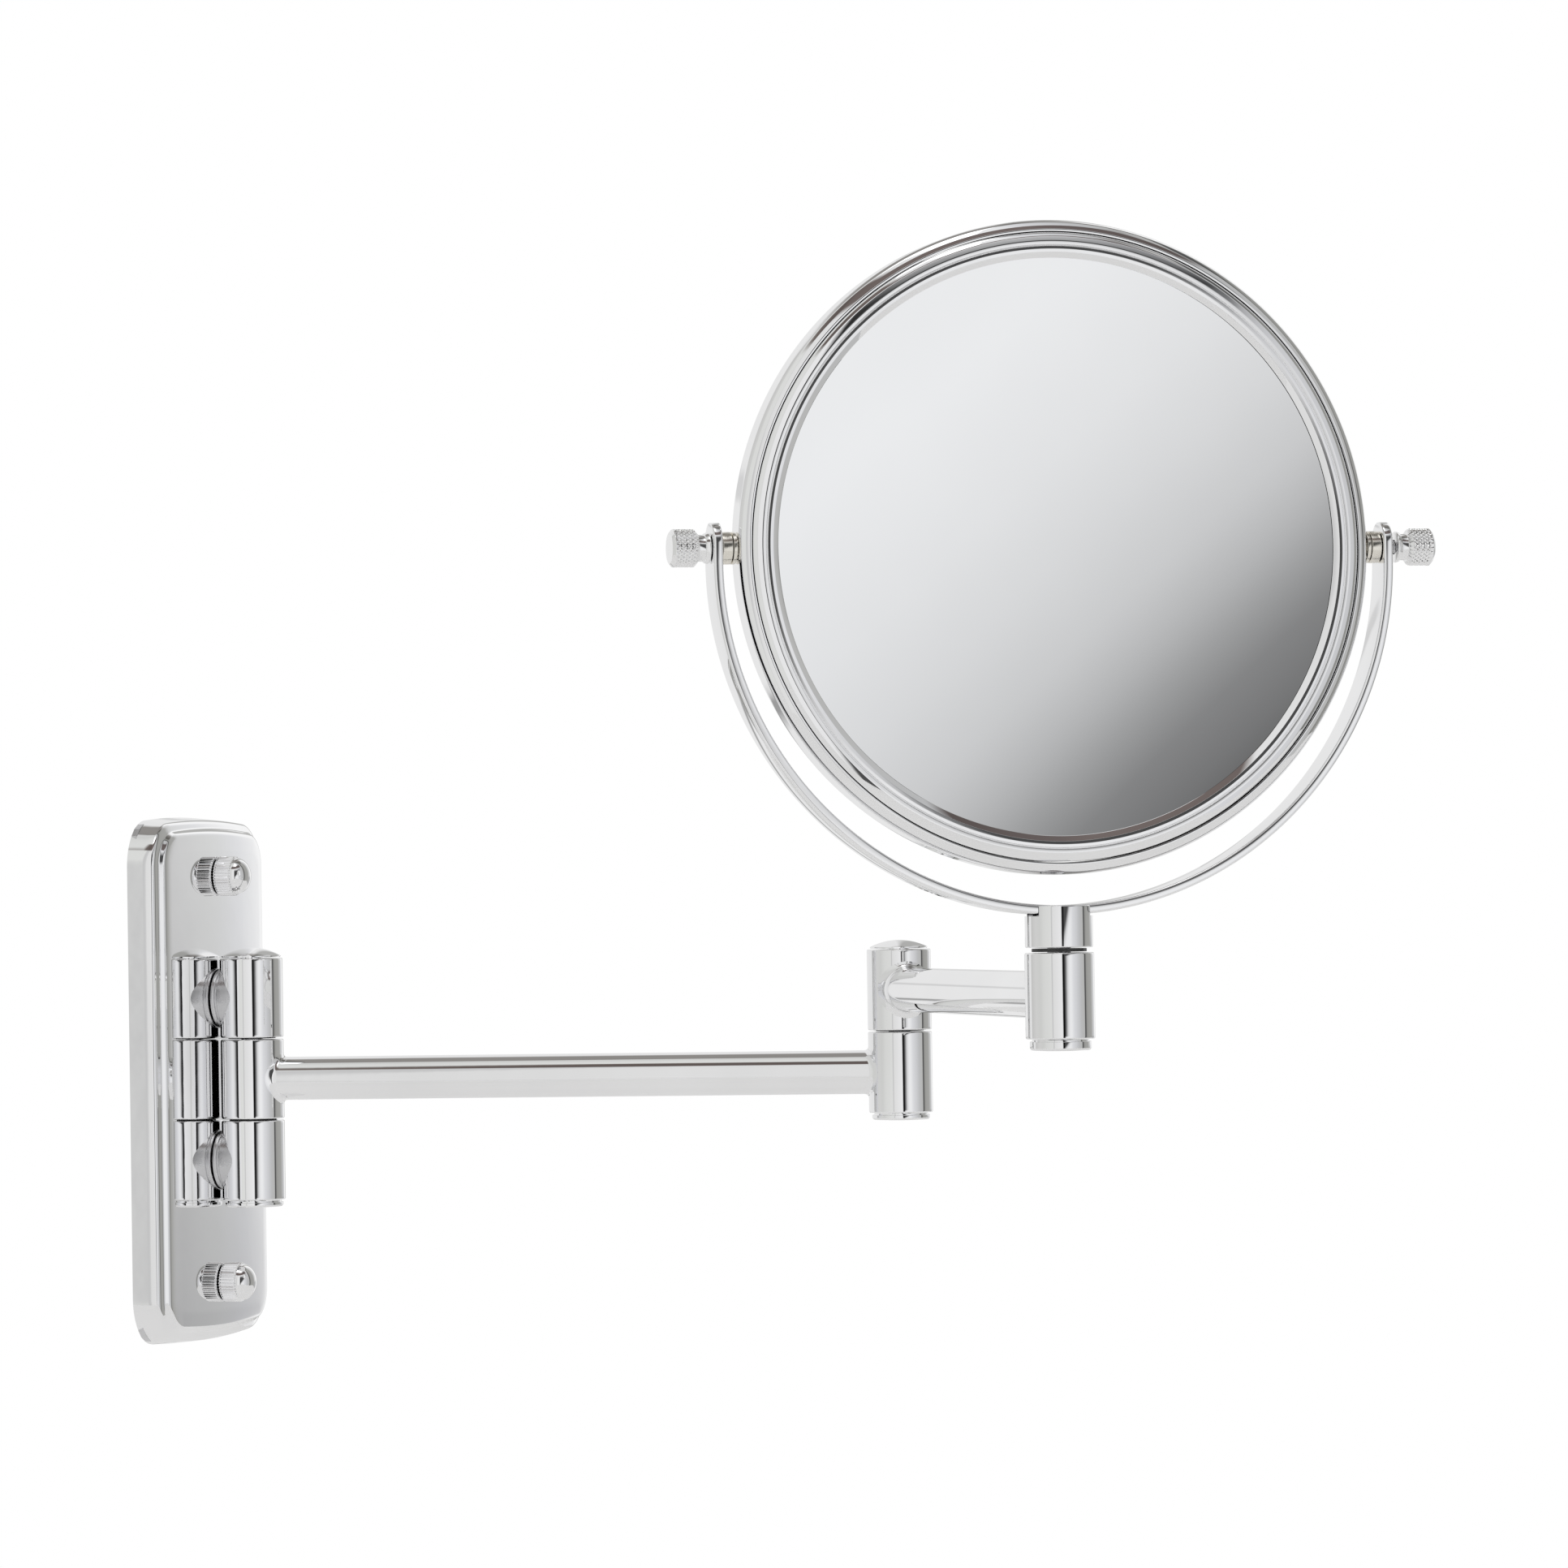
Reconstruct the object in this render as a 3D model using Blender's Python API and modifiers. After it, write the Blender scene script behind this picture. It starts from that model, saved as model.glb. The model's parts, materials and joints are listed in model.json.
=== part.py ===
"""Extendable two-arm wall mirror: wall plate, hinge column, two arms, yoke and two-sided mirror head.

Frame: the wall is the plane Y = 0 and the mirror stands out towards -Y, +Z is up, and the origin is the
centre of the bracket's back face. Each moving body hangs on an empty that sits on its joint's axis, and in
that empty's own frame the arm or the mirror's front face points along -Y.
"""

import math

import bmesh
import bpy
from mathutils import Matrix

MM = 0.001
GAP = 0.3 * MM  # play between neighbouring pieces
ROUND = 24  # flats round a barrel-sized circle
FINE = 48  # flats round the mirror head
SMALL = 16  # flats round a screw or a hole

# wall plate and bracket
PLATE_HALF_WIDTH = 48.0 * MM
PLATE_HALF_HEIGHT = 90.5 * MM
PLATE_CORNER = 13.0 * MM
PLATE_DEPTH = 13.5 * MM
PLATE_WALL = 1.5 * MM
BRACKET_THICKNESS = 2.0 * MM
STUD_HEIGHT = 70.0 * MM
STUD_RADIUS = 2.7 * MM
STUD_COLLAR_RADIUS = 4.5 * MM
CAP_NUT_RADIUS = 6.8 * MM
CAP_NUT_LENGTH = 6.2 * MM
CAP_NUT_DOME = 4.8 * MM
CAP_NUT_FLUTES = 40
WALL_SCREW_X = 30.0 * MM
WALL_SCREW_Z = 52.0 * MM
WALL_SCREW_HOLE = 2.5 * MM

# barrels, pins and tubes
BARREL_RADIUS = 10.8 * MM
BARREL_HEIGHT = 27.3 * MM
BARREL_PITCH = 27.9 * MM
BARREL_EDGE = 0.4 * MM
BORE_RADIUS = 4.0 * MM
PIN_RADIUS = 3.7 * MM
HINGE_OFFSET = 24.9 * MM
POST_RADIUS = 10.4 * MM
WASHER_RADIUS = 8.2 * MM
WASHER_THICKNESS = 0.7 * MM
SPIGOT_LENGTH = 3.55 * MM
TUBE_RADIUS = 7.4 * MM
TUBE_WALL = 1.1 * MM

# arms: length between axes, and direction from straight out of the wall
FIRST_ARM_LENGTH = 226.0 * MM
FIRST_ARM_TURN = math.radians(8.0)
SECOND_ARM_LENGTH = 190.0 * MM
SECOND_ARM_TURN = math.radians(-58.0)

# yoke
SWIVEL_HEIGHT = 26.7 * MM
SOCKET_RADIUS = 10.55 * MM
SOCKET_BOTTOM = 42.85 * MM
SOCKET_TOP = 55.95 * MM
SOCKET_BORE_TOP = 47.5 * MM
STRAP_SCREW_RADIUS = 2.2 * MM
STRAP_SCREW_HEAD = 4.2 * MM
STRAP_SCREW_BOTTOM = 49.1 * MM
STRAP_INNER_RADIUS = 106.6 * MM
STRAP_THICKNESS = 3.0 * MM
STRAP_HALF_WIDTH = 6.25 * MM
PIVOT_HEIGHT = 166.9 * MM
STRAP_TIP = 8.0 * MM

# mirror head, radii from its centre and heights from its middle plane
HEAD_RADIUS = 101.5 * MM
RIM_HALF_DEPTH = 6.9 * MM
RIM_INNER_RADIUS = 97.9 * MM
BEZEL_RADIUS = 97.5 * MM
BEZEL_TOP = 8.0 * MM
BEZEL_BOTTOM = 3.9 * MM
OPENING_RADIUS = 89.5 * MM
GLASS_RADIUS = 91.6 * MM
GLASS_THICKNESS = 2.6 * MM
GLASS_SEAT = 6.6 * MM
MAGNIFIER_CURVE = 1234.0 * MM  # radius of the concave front glass
PAD_RADIUS = 84.0 * MM
INSERT_RADIUS = 3.4 * MM

# pivots and clamp knobs, measured outwards along the tilt axis
SCREW_RADIUS = 2.0 * MM
SCREW_BORE = 2.3 * MM
SPACER_RADIUS = 5.0 * MM
KNOB_FLANGE_RADIUS = 4.9 * MM
NECK_RADIUS = 4.1 * MM
KNOB_RADIUS = 5.85 * MM
KNOB_LENGTH = 12.3 * MM
RIGHT_KNOB_BACKED_OFF = 2.0 * MM

ALONG_OUT = (math.pi / 2, 0.0, 0.0)  # turns a lathe's +Z to the frame's -Y
ALONG_RIGHT = (0.0, math.pi / 2, 0.0)
ALONG_LEFT = (0.0, -math.pi / 2, 0.0)

COLOURS = {
    "chrome": ((0.80, 0.81, 0.82), 1.0, 0.06),
    "mirror_glass": ((0.86, 0.87, 0.88), 1.0, 0.01),
    "nickel": ((0.76, 0.72, 0.62), 1.0, 0.22),
    "steel": ((0.55, 0.55, 0.56), 1.0, 0.35),
    "nylon": ((0.06, 0.06, 0.06), 0.0, 0.45),
    "felt": ((0.30, 0.30, 0.31), 0.0, 0.90),
}


# ---------------------------------------------------------------- scene and materials


def clear_scene():
    for obj in list(bpy.data.objects):
        bpy.data.objects.remove(obj, do_unlink=True)


def new_collection(name):
    collection = bpy.data.collections.new(name)
    bpy.context.scene.collection.children.link(collection)
    return collection


def new_material(name):
    colour, metallic, roughness = COLOURS[name]
    material = bpy.data.materials.new(name)
    material.use_nodes = True
    shader = material.node_tree.nodes["Principled BSDF"]
    shader.inputs["Base Color"].default_value = (*colour, 1.0)
    shader.inputs["Metallic"].default_value = metallic
    shader.inputs["Roughness"].default_value = roughness
    return material


clear_scene()
PARTS = new_collection("extendable_mirror")
CUTTERS = new_collection("cutters")
MATERIALS = {name: new_material(name) for name in COLOURS}


def new_empty(name, location, turn=0.0):
    """A frame whose origin is a joint's axis and whose -Y is turned about Z."""
    empty = bpy.data.objects.new(name, None)
    PARTS.objects.link(empty)
    empty.location = location
    empty.rotation_euler = (0.0, 0.0, turn)
    return empty


# ---------------------------------------------------------------- solids


def place(name, mesh, parent, slot=None, location=(0, 0, 0), rotation=(0, 0, 0)):
    """Puts a mesh in the model, or among the cutters if it has no material slot."""
    obj = bpy.data.objects.new(name, mesh)
    obj.parent = parent
    obj.location = location
    obj.rotation_euler = rotation
    if slot:
        PARTS.objects.link(obj)
        mesh.materials.append(MATERIALS[slot])
    else:
        CUTTERS.objects.link(obj)
        obj.hide_render = True
        obj.display_type = "WIRE"
    return obj


def shade_round(mesh):
    mesh.shade_smooth()
    mesh.set_sharp_from_angle(angle=math.radians(32))


def turned(name, profile, parent, slot=None, closed=False, steps=ROUND, **placing):
    """Turns a profile of (radius, height) points about Z; the points run down the outer side."""
    outline = bpy.data.meshes.new(name + "_profile")
    edges = [(i, i + 1) for i in range(len(profile) - 1)]
    if closed:
        edges.append((len(profile) - 1, 0))
    outline.from_pydata([(r, 0.0, z) for r, z in profile], edges, [])
    lathe = bpy.data.objects.new(name + "_lathe", outline)
    bpy.context.scene.collection.objects.link(lathe)
    screw = lathe.modifiers.new("turn", "SCREW")
    screw.steps = steps
    screw.render_steps = steps
    screw.use_merge_vertices = True
    screw.merge_threshold = 1e-6
    depsgraph = bpy.context.evaluated_depsgraph_get()
    mesh = bpy.data.meshes.new_from_object(lathe.evaluated_get(depsgraph))
    bpy.data.objects.remove(lathe, do_unlink=True)
    mesh.name = name
    shade_round(mesh)
    return place(name, mesh, parent, slot, **placing)


def rod(name, radius, low, high, parent, slot=None, **placing):
    return turned(name, [(0, high), (radius, high), (radius, low), (0, low)], parent, slot, **placing)


def ring(name, inner, outer, low, high, parent, slot=None, **placing):
    profile = [(inner, high), (outer, high), (outer, low), (inner, low)]
    return turned(name, profile, parent, slot, closed=True, **placing)


def arc(centre, radius, start, end, count):
    """Points on an arc, angles in degrees from the +radius direction."""
    points = []
    for i in range(count + 1):
        angle = math.radians(start + (end - start) * i / count)
        points.append((centre[0] + radius * math.cos(angle), centre[1] + radius * math.sin(angle)))
    return points


def circle(centre, radius, count=SMALL):
    return arc(centre, radius, 0, 360, count)[:-1]


def boolean(obj, tool, operation="DIFFERENCE"):
    modifier = obj.modifiers.new(tool.name, "BOOLEAN")
    modifier.operation = operation
    modifier.object = tool


def mesh_from(name, bm):
    bmesh.ops.recalc_face_normals(bm, faces=bm.faces)
    mesh = bpy.data.meshes.new(name)
    bm.to_mesh(mesh)
    bm.free()
    return mesh


def join_loops(bm, near, far):
    """Skins the band between two loops of vertices."""
    count = len(near)
    for i in range(count):
        j = (i + 1) % count
        bm.faces.new((near[i], near[j], far[j], far[i]))


def lofted(name, sections, parent, slot, **placing):
    """A closed solid through sections with the same number of points; the two end sections are capped."""
    bm = bmesh.new()
    loops = [[bm.verts.new(p) for p in section] for section in sections]
    for near, far in zip(loops, loops[1:]):
        join_loops(bm, near, far)
    bm.faces.new(loops[0])
    bm.faces.new(reversed(loops[-1]))
    return place(name, mesh_from(name, bm), parent, slot, **placing)


# ---------------------------------------------------------------- wall plate and bracket


def rounded_rectangle(inset, depth, per_corner=5):
    """Plate outline moved in by inset, at a depth in front of the wall, as (x, y, z) points."""
    half_x = PLATE_HALF_WIDTH - inset
    half_z = PLATE_HALF_HEIGHT - inset
    radius = PLATE_CORNER - inset
    points = []
    for quarter, (sx, sz) in enumerate(((1, 1), (-1, 1), (-1, -1), (1, -1))):
        centre = (sx * (half_x - radius), sz * (half_z - radius))
        start = 90 * quarter
        for x, z in arc(centre, radius, start, start + 90, per_corner):
            points.append((x, -depth, z))
    return points


def plate_section():
    """(inset, depth) steps: up the drafted side, over the shoulder and cove to the face, then back inside."""
    outer = [(0, 0), (1.0, 7.6), (1.8, 9.2), (4.2, 11.2), (5.6, 12.6), (6.8, 13.3), (8.4, 13.5)]
    inner = [(8.4, 12.0), (5.6, 11.0), (3.0, 8.2), (1.6, 0)]
    return [(inset * MM, depth * MM) for inset, depth in outer + inner], len(outer) - 1


def make_wall_plate(root):
    """A pressed cover, hollow behind: each step of its section is a rounded rectangle."""
    section, face_level = plate_section()
    bm = bmesh.new()
    loops = []
    for inset, depth in section:
        loops.append([bm.verts.new(p) for p in rounded_rectangle(inset, depth)])
    for level, near in enumerate(loops):
        if level == face_level:
            continue
        join_loops(bm, near, loops[(level + 1) % len(loops)])
    bm.faces.new(loops[face_level])
    bm.faces.new(loops[face_level + 1])
    plate = place("wall_plate", mesh_from("wall_plate", bm), root, "chrome")
    shade_round(plate.data)
    for name, side in (("upper", 1), ("lower", -1)):
        for label, height in (("stud_hole", STUD_HEIGHT), ("screw_hole", BARREL_PITCH)):
            hole = rod(f"{name}_{label}", STUD_RADIUS + GAP, 5 * MM, 20 * MM, root,
                       steps=SMALL, location=(0, 0, side * height), rotation=ALONG_OUT)
            boolean(plate, hole)


def add_loop(curve, points):
    spline = curve.splines.new("POLY")
    spline.points.add(len(points) - 1)
    for point, (x, y) in zip(spline.points, points):
        point.co = (x, y, 0.0, 1.0)
    spline.use_cyclic_u = True


def make_bracket(root):
    """A flat steel plate inside the cover, with holes for two studs and four wall screws."""
    inset = PLATE_WALL + 0.6 * MM
    curve = bpy.data.curves.new("backing_plate_outline", "CURVE")
    curve.dimensions = "2D"
    curve.fill_mode = "BOTH"
    curve.extrude = BRACKET_THICKNESS / 2
    add_loop(curve, [(x, z) for x, _, z in rounded_rectangle(inset, 0)])
    for side in (1, -1):
        add_loop(curve, circle((0, side * STUD_HEIGHT), STUD_RADIUS + GAP))
        for across in (1, -1):
            add_loop(curve, circle((across * WALL_SCREW_X, side * WALL_SCREW_Z), WALL_SCREW_HOLE))
    guide = bpy.data.objects.new("backing_plate_curve", curve)
    bpy.context.scene.collection.objects.link(guide)
    depsgraph = bpy.context.evaluated_depsgraph_get()
    mesh = bpy.data.meshes.new_from_object(guide.evaluated_get(depsgraph))
    bpy.data.objects.remove(guide, do_unlink=True)
    bm = bmesh.new()
    bm.from_mesh(mesh)
    bmesh.ops.remove_doubles(bm, verts=bm.verts, dist=1e-6)
    middle = (0, -BRACKET_THICKNESS / 2, 0)
    place("backing_plate", mesh_from("backing_plate", bm), root, "steel", location=middle, rotation=ALONG_OUT)


def make_fixing(name, side, root):
    """A stud from the bracket through the cover, and the fluted cap nut that holds the cover on."""
    where = {"location": (0, 0, side * STUD_HEIGHT), "rotation": ALONG_OUT}
    tip = PLATE_DEPTH + 8 * MM
    collar_seat = BRACKET_THICKNESS + GAP
    collar_top = BRACKET_THICKNESS + 1.5 * MM
    stud = [
        (0, tip),
        (STUD_RADIUS, tip),
        (STUD_RADIUS, collar_top),
        (STUD_COLLAR_RADIUS, collar_top),
        (STUD_COLLAR_RADIUS, collar_seat),
        (STUD_RADIUS, collar_seat),
        (STUD_RADIUS, GAP),
        (0, GAP),
    ]
    turned(f"{name}_fixing_stud", stud, root, "steel", steps=SMALL, **where)
    seat = PLATE_DEPTH + GAP
    shoulder = seat + CAP_NUT_LENGTH
    quarter = arc((0, 0), CAP_NUT_RADIUS - 0.2 * MM, 90, 0, 5)
    flatten = CAP_NUT_DOME / quarter[0][1]
    dome = [(x, shoulder + y * flatten) for x, y in quarter]
    bore = STUD_RADIUS + GAP
    bore_end = tip + 0.5 * MM
    nut_section = [(0, dome[0][1])] + dome[1:]
    nut_section += [(CAP_NUT_RADIUS, shoulder), (CAP_NUT_RADIUS, seat)]
    nut_section += [(bore, seat), (bore, bore_end), (0, bore_end)]
    nut = turned(f"{name}_cap_nut", nut_section, root, "chrome", steps=CAP_NUT_FLUTES, **where)
    boolean(nut, make_flute_cutter(f"{name}_flutes", seat, shoulder, root, where))


def make_flute_cutter(name, low, high, root, where):
    """A ring of narrow blades that cut the grip flutes."""
    bm = bmesh.new()
    depth, width, length = 1.0 * MM, 0.6 * MM, high - low
    size = Matrix.Diagonal((depth, width, length, 1.0))
    out = Matrix.Translation((CAP_NUT_RADIUS, 0, low + length / 2 - 0.4 * MM))
    for i in range(CAP_NUT_FLUTES):
        turn = Matrix.Rotation(math.tau * (i + 0.5) / CAP_NUT_FLUTES, 4, "Z")
        bmesh.ops.create_cube(bm, size=1.0, matrix=turn @ out @ size)
    return place(name, mesh_from(name, bm), root, **where)


# ---------------------------------------------------------------- barrels, pins and caps


def barrel(name, centre, parent, height=BARREL_HEIGHT, recess_top=False, recess_bottom=False):
    """An upright barrel with a through bore, and a recess for a washer at either end."""
    top, bottom = height / 2, -height / 2
    recess = WASHER_RADIUS + GAP
    depth = WASHER_THICKNESS
    profile = [(BORE_RADIUS, top)]
    if recess_top:
        profile = [(BORE_RADIUS, top - depth), (recess, top - depth), (recess, top)]
    profile += [
        (BARREL_RADIUS - BARREL_EDGE, top),
        (BARREL_RADIUS, top - BARREL_EDGE),
        (BARREL_RADIUS, bottom + BARREL_EDGE),
        (BARREL_RADIUS - BARREL_EDGE, bottom),
    ]
    if recess_bottom:
        profile += [(recess, bottom), (recess, bottom + depth), (BORE_RADIUS, bottom + depth)]
    else:
        profile.append((BORE_RADIUS, bottom))
    return turned(name, profile, parent, "chrome", closed=True, location=(0, 0, centre))


def washer(name, low, parent, thickness=WASHER_THICKNESS, radius=WASHER_RADIUS):
    inner = PIN_RADIUS + GAP
    ring(name, inner, radius, low, low + thickness, parent, "nylon", steps=SMALL)


def dome_cap(name, seat, height, radius, parent):
    """A shallow domed cap with a spigot pressed into the barrel's bore."""
    sphere = (radius**2 + height**2) / (2 * height)
    half_angle = math.degrees(math.asin(radius / sphere))
    dome = arc((0, seat + height - sphere), sphere, 90, 90 - half_angle, 4)
    end = seat - SPIGOT_LENGTH
    spigot = [(PIN_RADIUS, seat), (PIN_RADIUS, end), (0, end)]
    turned(name, [(0, seat + height)] + dome[1:] + spigot, parent, "chrome")


def foot_cap(name, seat, height, radius, parent):
    """A flat cap under a barrel, with a chamfered lower edge and a spigot in the bore."""
    chamfer = 0.6 * MM
    bottom = seat - height
    end = seat + SPIGOT_LENGTH
    profile = [(0, end), (PIN_RADIUS, end), (PIN_RADIUS, seat), (radius, seat)]
    profile += [(radius, bottom + chamfer), (radius - chamfer, bottom), (0, bottom)]
    turned(name, profile, parent, "chrome")


def knuckle_screw(name, height, root):
    """A screw from inside the cover into the knuckle's post."""
    seat = PLATE_DEPTH - PLATE_WALL - GAP
    tip = HINGE_OFFSET - BORE_RADIUS - 1.4 * MM
    head_radius = 5.0 * MM
    head_end = seat - 3.3 * MM
    profile = [(0, tip), (STUD_RADIUS, tip), (STUD_RADIUS, seat), (head_radius, seat)]
    profile += [(head_radius, head_end), (0, head_end)]
    turned(name, profile, root, "steel", steps=SMALL, location=(0, 0, height), rotation=ALONG_OUT)


def make_hinge_column(root, hinge, first_arm):
    """Three knuckles on one pin; the outer two stand on posts screwed to the wall plate from behind."""
    plate_side = HINGE_OFFSET - PLATE_DEPTH - GAP
    for name, side in (("upper", 1), ("lower", -1)):
        centre = side * BARREL_PITCH
        knuckle = barrel(f"{name}_knuckle", centre, hinge, recess_bottom=side > 0, recess_top=side < 0)
        post = rod(f"{name}_post", POST_RADIUS, -plate_side, 0, hinge,
                   location=(0, 0, centre), rotation=ALONG_OUT)
        boolean(knuckle, post, "UNION")
        bore = rod(f"{name}_knuckle_bore", BORE_RADIUS, -20 * MM, 20 * MM, hinge, location=(0, 0, centre))
        boolean(knuckle, bore)
        thread_end = HINGE_OFFSET - BORE_RADIUS - 0.9 * MM
        thread = rod(f"{name}_post_thread", STUD_RADIUS + GAP, 5 * MM, thread_end, root,
                     steps=SMALL, location=(0, 0, centre), rotation=ALONG_OUT)
        boolean(knuckle, thread)
        knuckle_screw(f"{name}_knuckle_screw", centre, root)
    top = BARREL_PITCH + BARREL_HEIGHT / 2 + GAP
    reach = top - SPIGOT_LENGTH - GAP
    rod("hinge_pin", PIN_RADIUS, -reach, reach, hinge, "steel")
    dome_cap("hinge_top_cap", top, 3.3 * MM, 10.2 * MM, hinge)
    foot_cap("hinge_bottom_cap", -top, 2.4 * MM, 10.0 * MM, hinge)
    barrel("middle_knuckle", 0, first_arm)
    seam = BARREL_HEIGHT / 2 + GAP
    washer("upper_hinge_washer", seam, first_arm)
    washer("lower_hinge_washer", -seam - WASHER_THICKNESS, first_arm)


def arm_tube(name, length, height, parent):
    """A hollow tube between two barrels, its ends saddled to their round sides."""
    inset = 5.0 * MM
    tube = ring(name, TUBE_RADIUS - TUBE_WALL, TUBE_RADIUS, inset, length - inset, parent, "chrome",
                location=(0, 0, height), rotation=ALONG_OUT, steps=ROUND)
    for label, distance in (("near", 0), ("far", length)):
        saddle = rod(f"{name}_{label}_saddle", BARREL_RADIUS + GAP, -20 * MM, 20 * MM, parent,
                     location=(0, -distance, height), steps=FINE)
        boolean(tube, saddle)


def make_first_arm(first_arm):
    arm_tube("first_arm_tube", FIRST_ARM_LENGTH, 0, first_arm)
    elbow = new_empty("elbow_end_of_first_arm", (0, -FIRST_ARM_LENGTH, 0))
    elbow.parent = first_arm
    barrel("elbow_lower_barrel", 0, elbow)
    bottom = -BARREL_HEIGHT / 2 - GAP
    foot_cap("elbow_bottom_cap", bottom, 2.4 * MM, 9.75 * MM, elbow)
    pin_low = bottom + SPIGOT_LENGTH + GAP
    pin_high = BARREL_PITCH + BARREL_HEIGHT / 2 - SPIGOT_LENGTH
    rod("elbow_pin", PIN_RADIUS, pin_low, pin_high, elbow, "steel")


def make_second_arm(second_arm):
    barrel("elbow_upper_barrel", BARREL_PITCH, second_arm, recess_bottom=True)
    dome_cap("elbow_top_cap", BARREL_PITCH + BARREL_HEIGHT / 2 + GAP, 2.8 * MM, 9.7 * MM, second_arm)
    washer("elbow_washer", BARREL_HEIGHT / 2 + GAP, second_arm)
    arm_tube("second_arm_tube", SECOND_ARM_LENGTH, BARREL_PITCH, second_arm)
    swivel = new_empty("swivel_end_of_second_arm", (0, -SECOND_ARM_LENGTH, 0))
    swivel.parent = second_arm
    barrel("swivel_barrel", BARREL_PITCH, swivel, height=SWIVEL_HEIGHT)


# ---------------------------------------------------------------- yoke


def strap_sections():
    """Rectangular sections along the U, from the left tip round the bottom to the right tip."""
    centre_height = SOCKET_TOP + STRAP_INNER_RADIUS
    tip_height = PIVOT_HEIGHT + STRAP_TIP
    rounding = [math.radians(a) for a in (15, 30, 45, 60, 75, 90)]
    stations = []
    for angle in rounding:
        drop = STRAP_HALF_WIDTH * (1 - math.cos(angle))
        stations.append((-1.0, tip_height - drop, STRAP_HALF_WIDTH * math.sin(angle)))
    sections = [strap_section(side, 0.0, height, half) for side, height, half in stations]
    bends = 40
    for i in range(bends + 1):
        angle = math.pi * i / bends
        sections.append(strap_section(-math.cos(angle), -math.sin(angle), centre_height, STRAP_HALF_WIDTH))
    mirrored = [strap_section(1.0, 0.0, height, half) for _, height, half in reversed(stations)]
    return sections + mirrored


def strap_section(across, down, height, half_width):
    """One section, its inner and outer edges on the ray (across, down) from (0, height)."""
    points = []
    for radius, side in ((0, -1), (0, 1), (1, 1), (1, -1)):
        reach = STRAP_INNER_RADIUS + radius * STRAP_THICKNESS
        points.append((across * reach, side * half_width, height + down * reach))
    return points


def make_strap(yoke):
    strap = lofted("yoke_strap", strap_sections(), yoke, "chrome")
    bevel = strap.modifiers.new("edges", "BEVEL")
    bevel.width = 0.5 * MM
    bevel.segments = 1
    bevel.limit_method = "ANGLE"
    bevel.angle_limit = math.radians(50)
    pivots = rod("strap_pivot_holes", SCREW_BORE, -125 * MM, 125 * MM, yoke,
                 steps=SMALL, location=(0, 0, PIVOT_HEIGHT), rotation=ALONG_RIGHT)
    boolean(strap, pivots)
    countersink = STRAP_SCREW_HEAD + 0.4 * MM
    clearance = STRAP_SCREW_RADIUS + GAP
    high = SOCKET_TOP + 1.0 * MM
    low = SOCKET_TOP - 6.0 * MM
    profile = [(0, high), (countersink, high), (countersink, SOCKET_TOP - GAP)]
    profile += [(clearance, SOCKET_TOP - 2.0 * MM), (clearance, low), (0, low)]
    boolean(strap, turned("strap_screw_hole", profile, yoke, steps=SMALL))


def make_socket(yoke):
    """The turned foot of the yoke: slotted on top for the strap and bored below for the pin."""
    edge = BARREL_EDGE
    profile = [
        (0, SOCKET_TOP),
        (SOCKET_RADIUS - edge, SOCKET_TOP),
        (SOCKET_RADIUS, SOCKET_TOP - edge),
        (SOCKET_RADIUS, SOCKET_BOTTOM + edge),
        (SOCKET_RADIUS - edge, SOCKET_BOTTOM),
        (BORE_RADIUS, SOCKET_BOTTOM),
        (BORE_RADIUS, SOCKET_BORE_TOP),
        (0, SOCKET_BORE_TOP),
    ]
    socket = turned("yoke_socket", profile, yoke, "chrome")
    slot_floor = SOCKET_TOP - STRAP_THICKNESS - GAP
    slot_height = 8 * MM
    bm = bmesh.new()
    size = Matrix.Diagonal((40 * MM, 2 * (STRAP_HALF_WIDTH + GAP), slot_height, 1.0))
    up = Matrix.Translation((0, 0, slot_floor + slot_height / 2))
    bmesh.ops.create_cube(bm, size=1.0, matrix=up @ size)
    boolean(socket, place("socket_slot", mesh_from("socket_slot", bm), yoke))
    thread_low = STRAP_SCREW_BOTTOM - GAP
    thread = rod("socket_thread", STRAP_SCREW_RADIUS + GAP, thread_low, SOCKET_TOP, yoke, steps=SMALL)
    boolean(socket, thread)


def make_yoke(yoke):
    make_strap(yoke)
    make_socket(yoke)
    head_top = SOCKET_TOP - 0.15 * MM
    head_low = head_top - 1.9 * MM
    screw = [(0, head_top), (STRAP_SCREW_HEAD, head_top), (STRAP_SCREW_RADIUS, head_low)]
    screw += [(STRAP_SCREW_RADIUS, STRAP_SCREW_BOTTOM), (0, STRAP_SCREW_BOTTOM)]
    turned("strap_screw", screw, yoke, "steel", steps=SMALL)
    barrel_bottom = BARREL_PITCH - SWIVEL_HEIGHT / 2
    barrel_top = BARREL_PITCH + SWIVEL_HEIGHT / 2
    washer_thickness = SOCKET_BOTTOM - barrel_top - 2 * GAP
    washer("swivel_washer", barrel_top + GAP, yoke, washer_thickness, 8.6 * MM)
    top = barrel_bottom - GAP
    bottom = top - 3.5 * MM
    well = top - 2.0 * MM
    rod("swivel_pin", PIN_RADIUS, well + GAP, SOCKET_BORE_TOP - GAP, yoke, "steel")
    radius = 9.55 * MM
    chamfer = 0.6 * MM
    cap = [(0, well), (BORE_RADIUS, well), (BORE_RADIUS, top), (radius, top)]
    cap += [(radius, bottom + chamfer), (radius - chamfer, bottom), (0, bottom)]
    turned("swivel_bottom_cap", cap, yoke, "chrome")


# ---------------------------------------------------------------- mirror head


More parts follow.
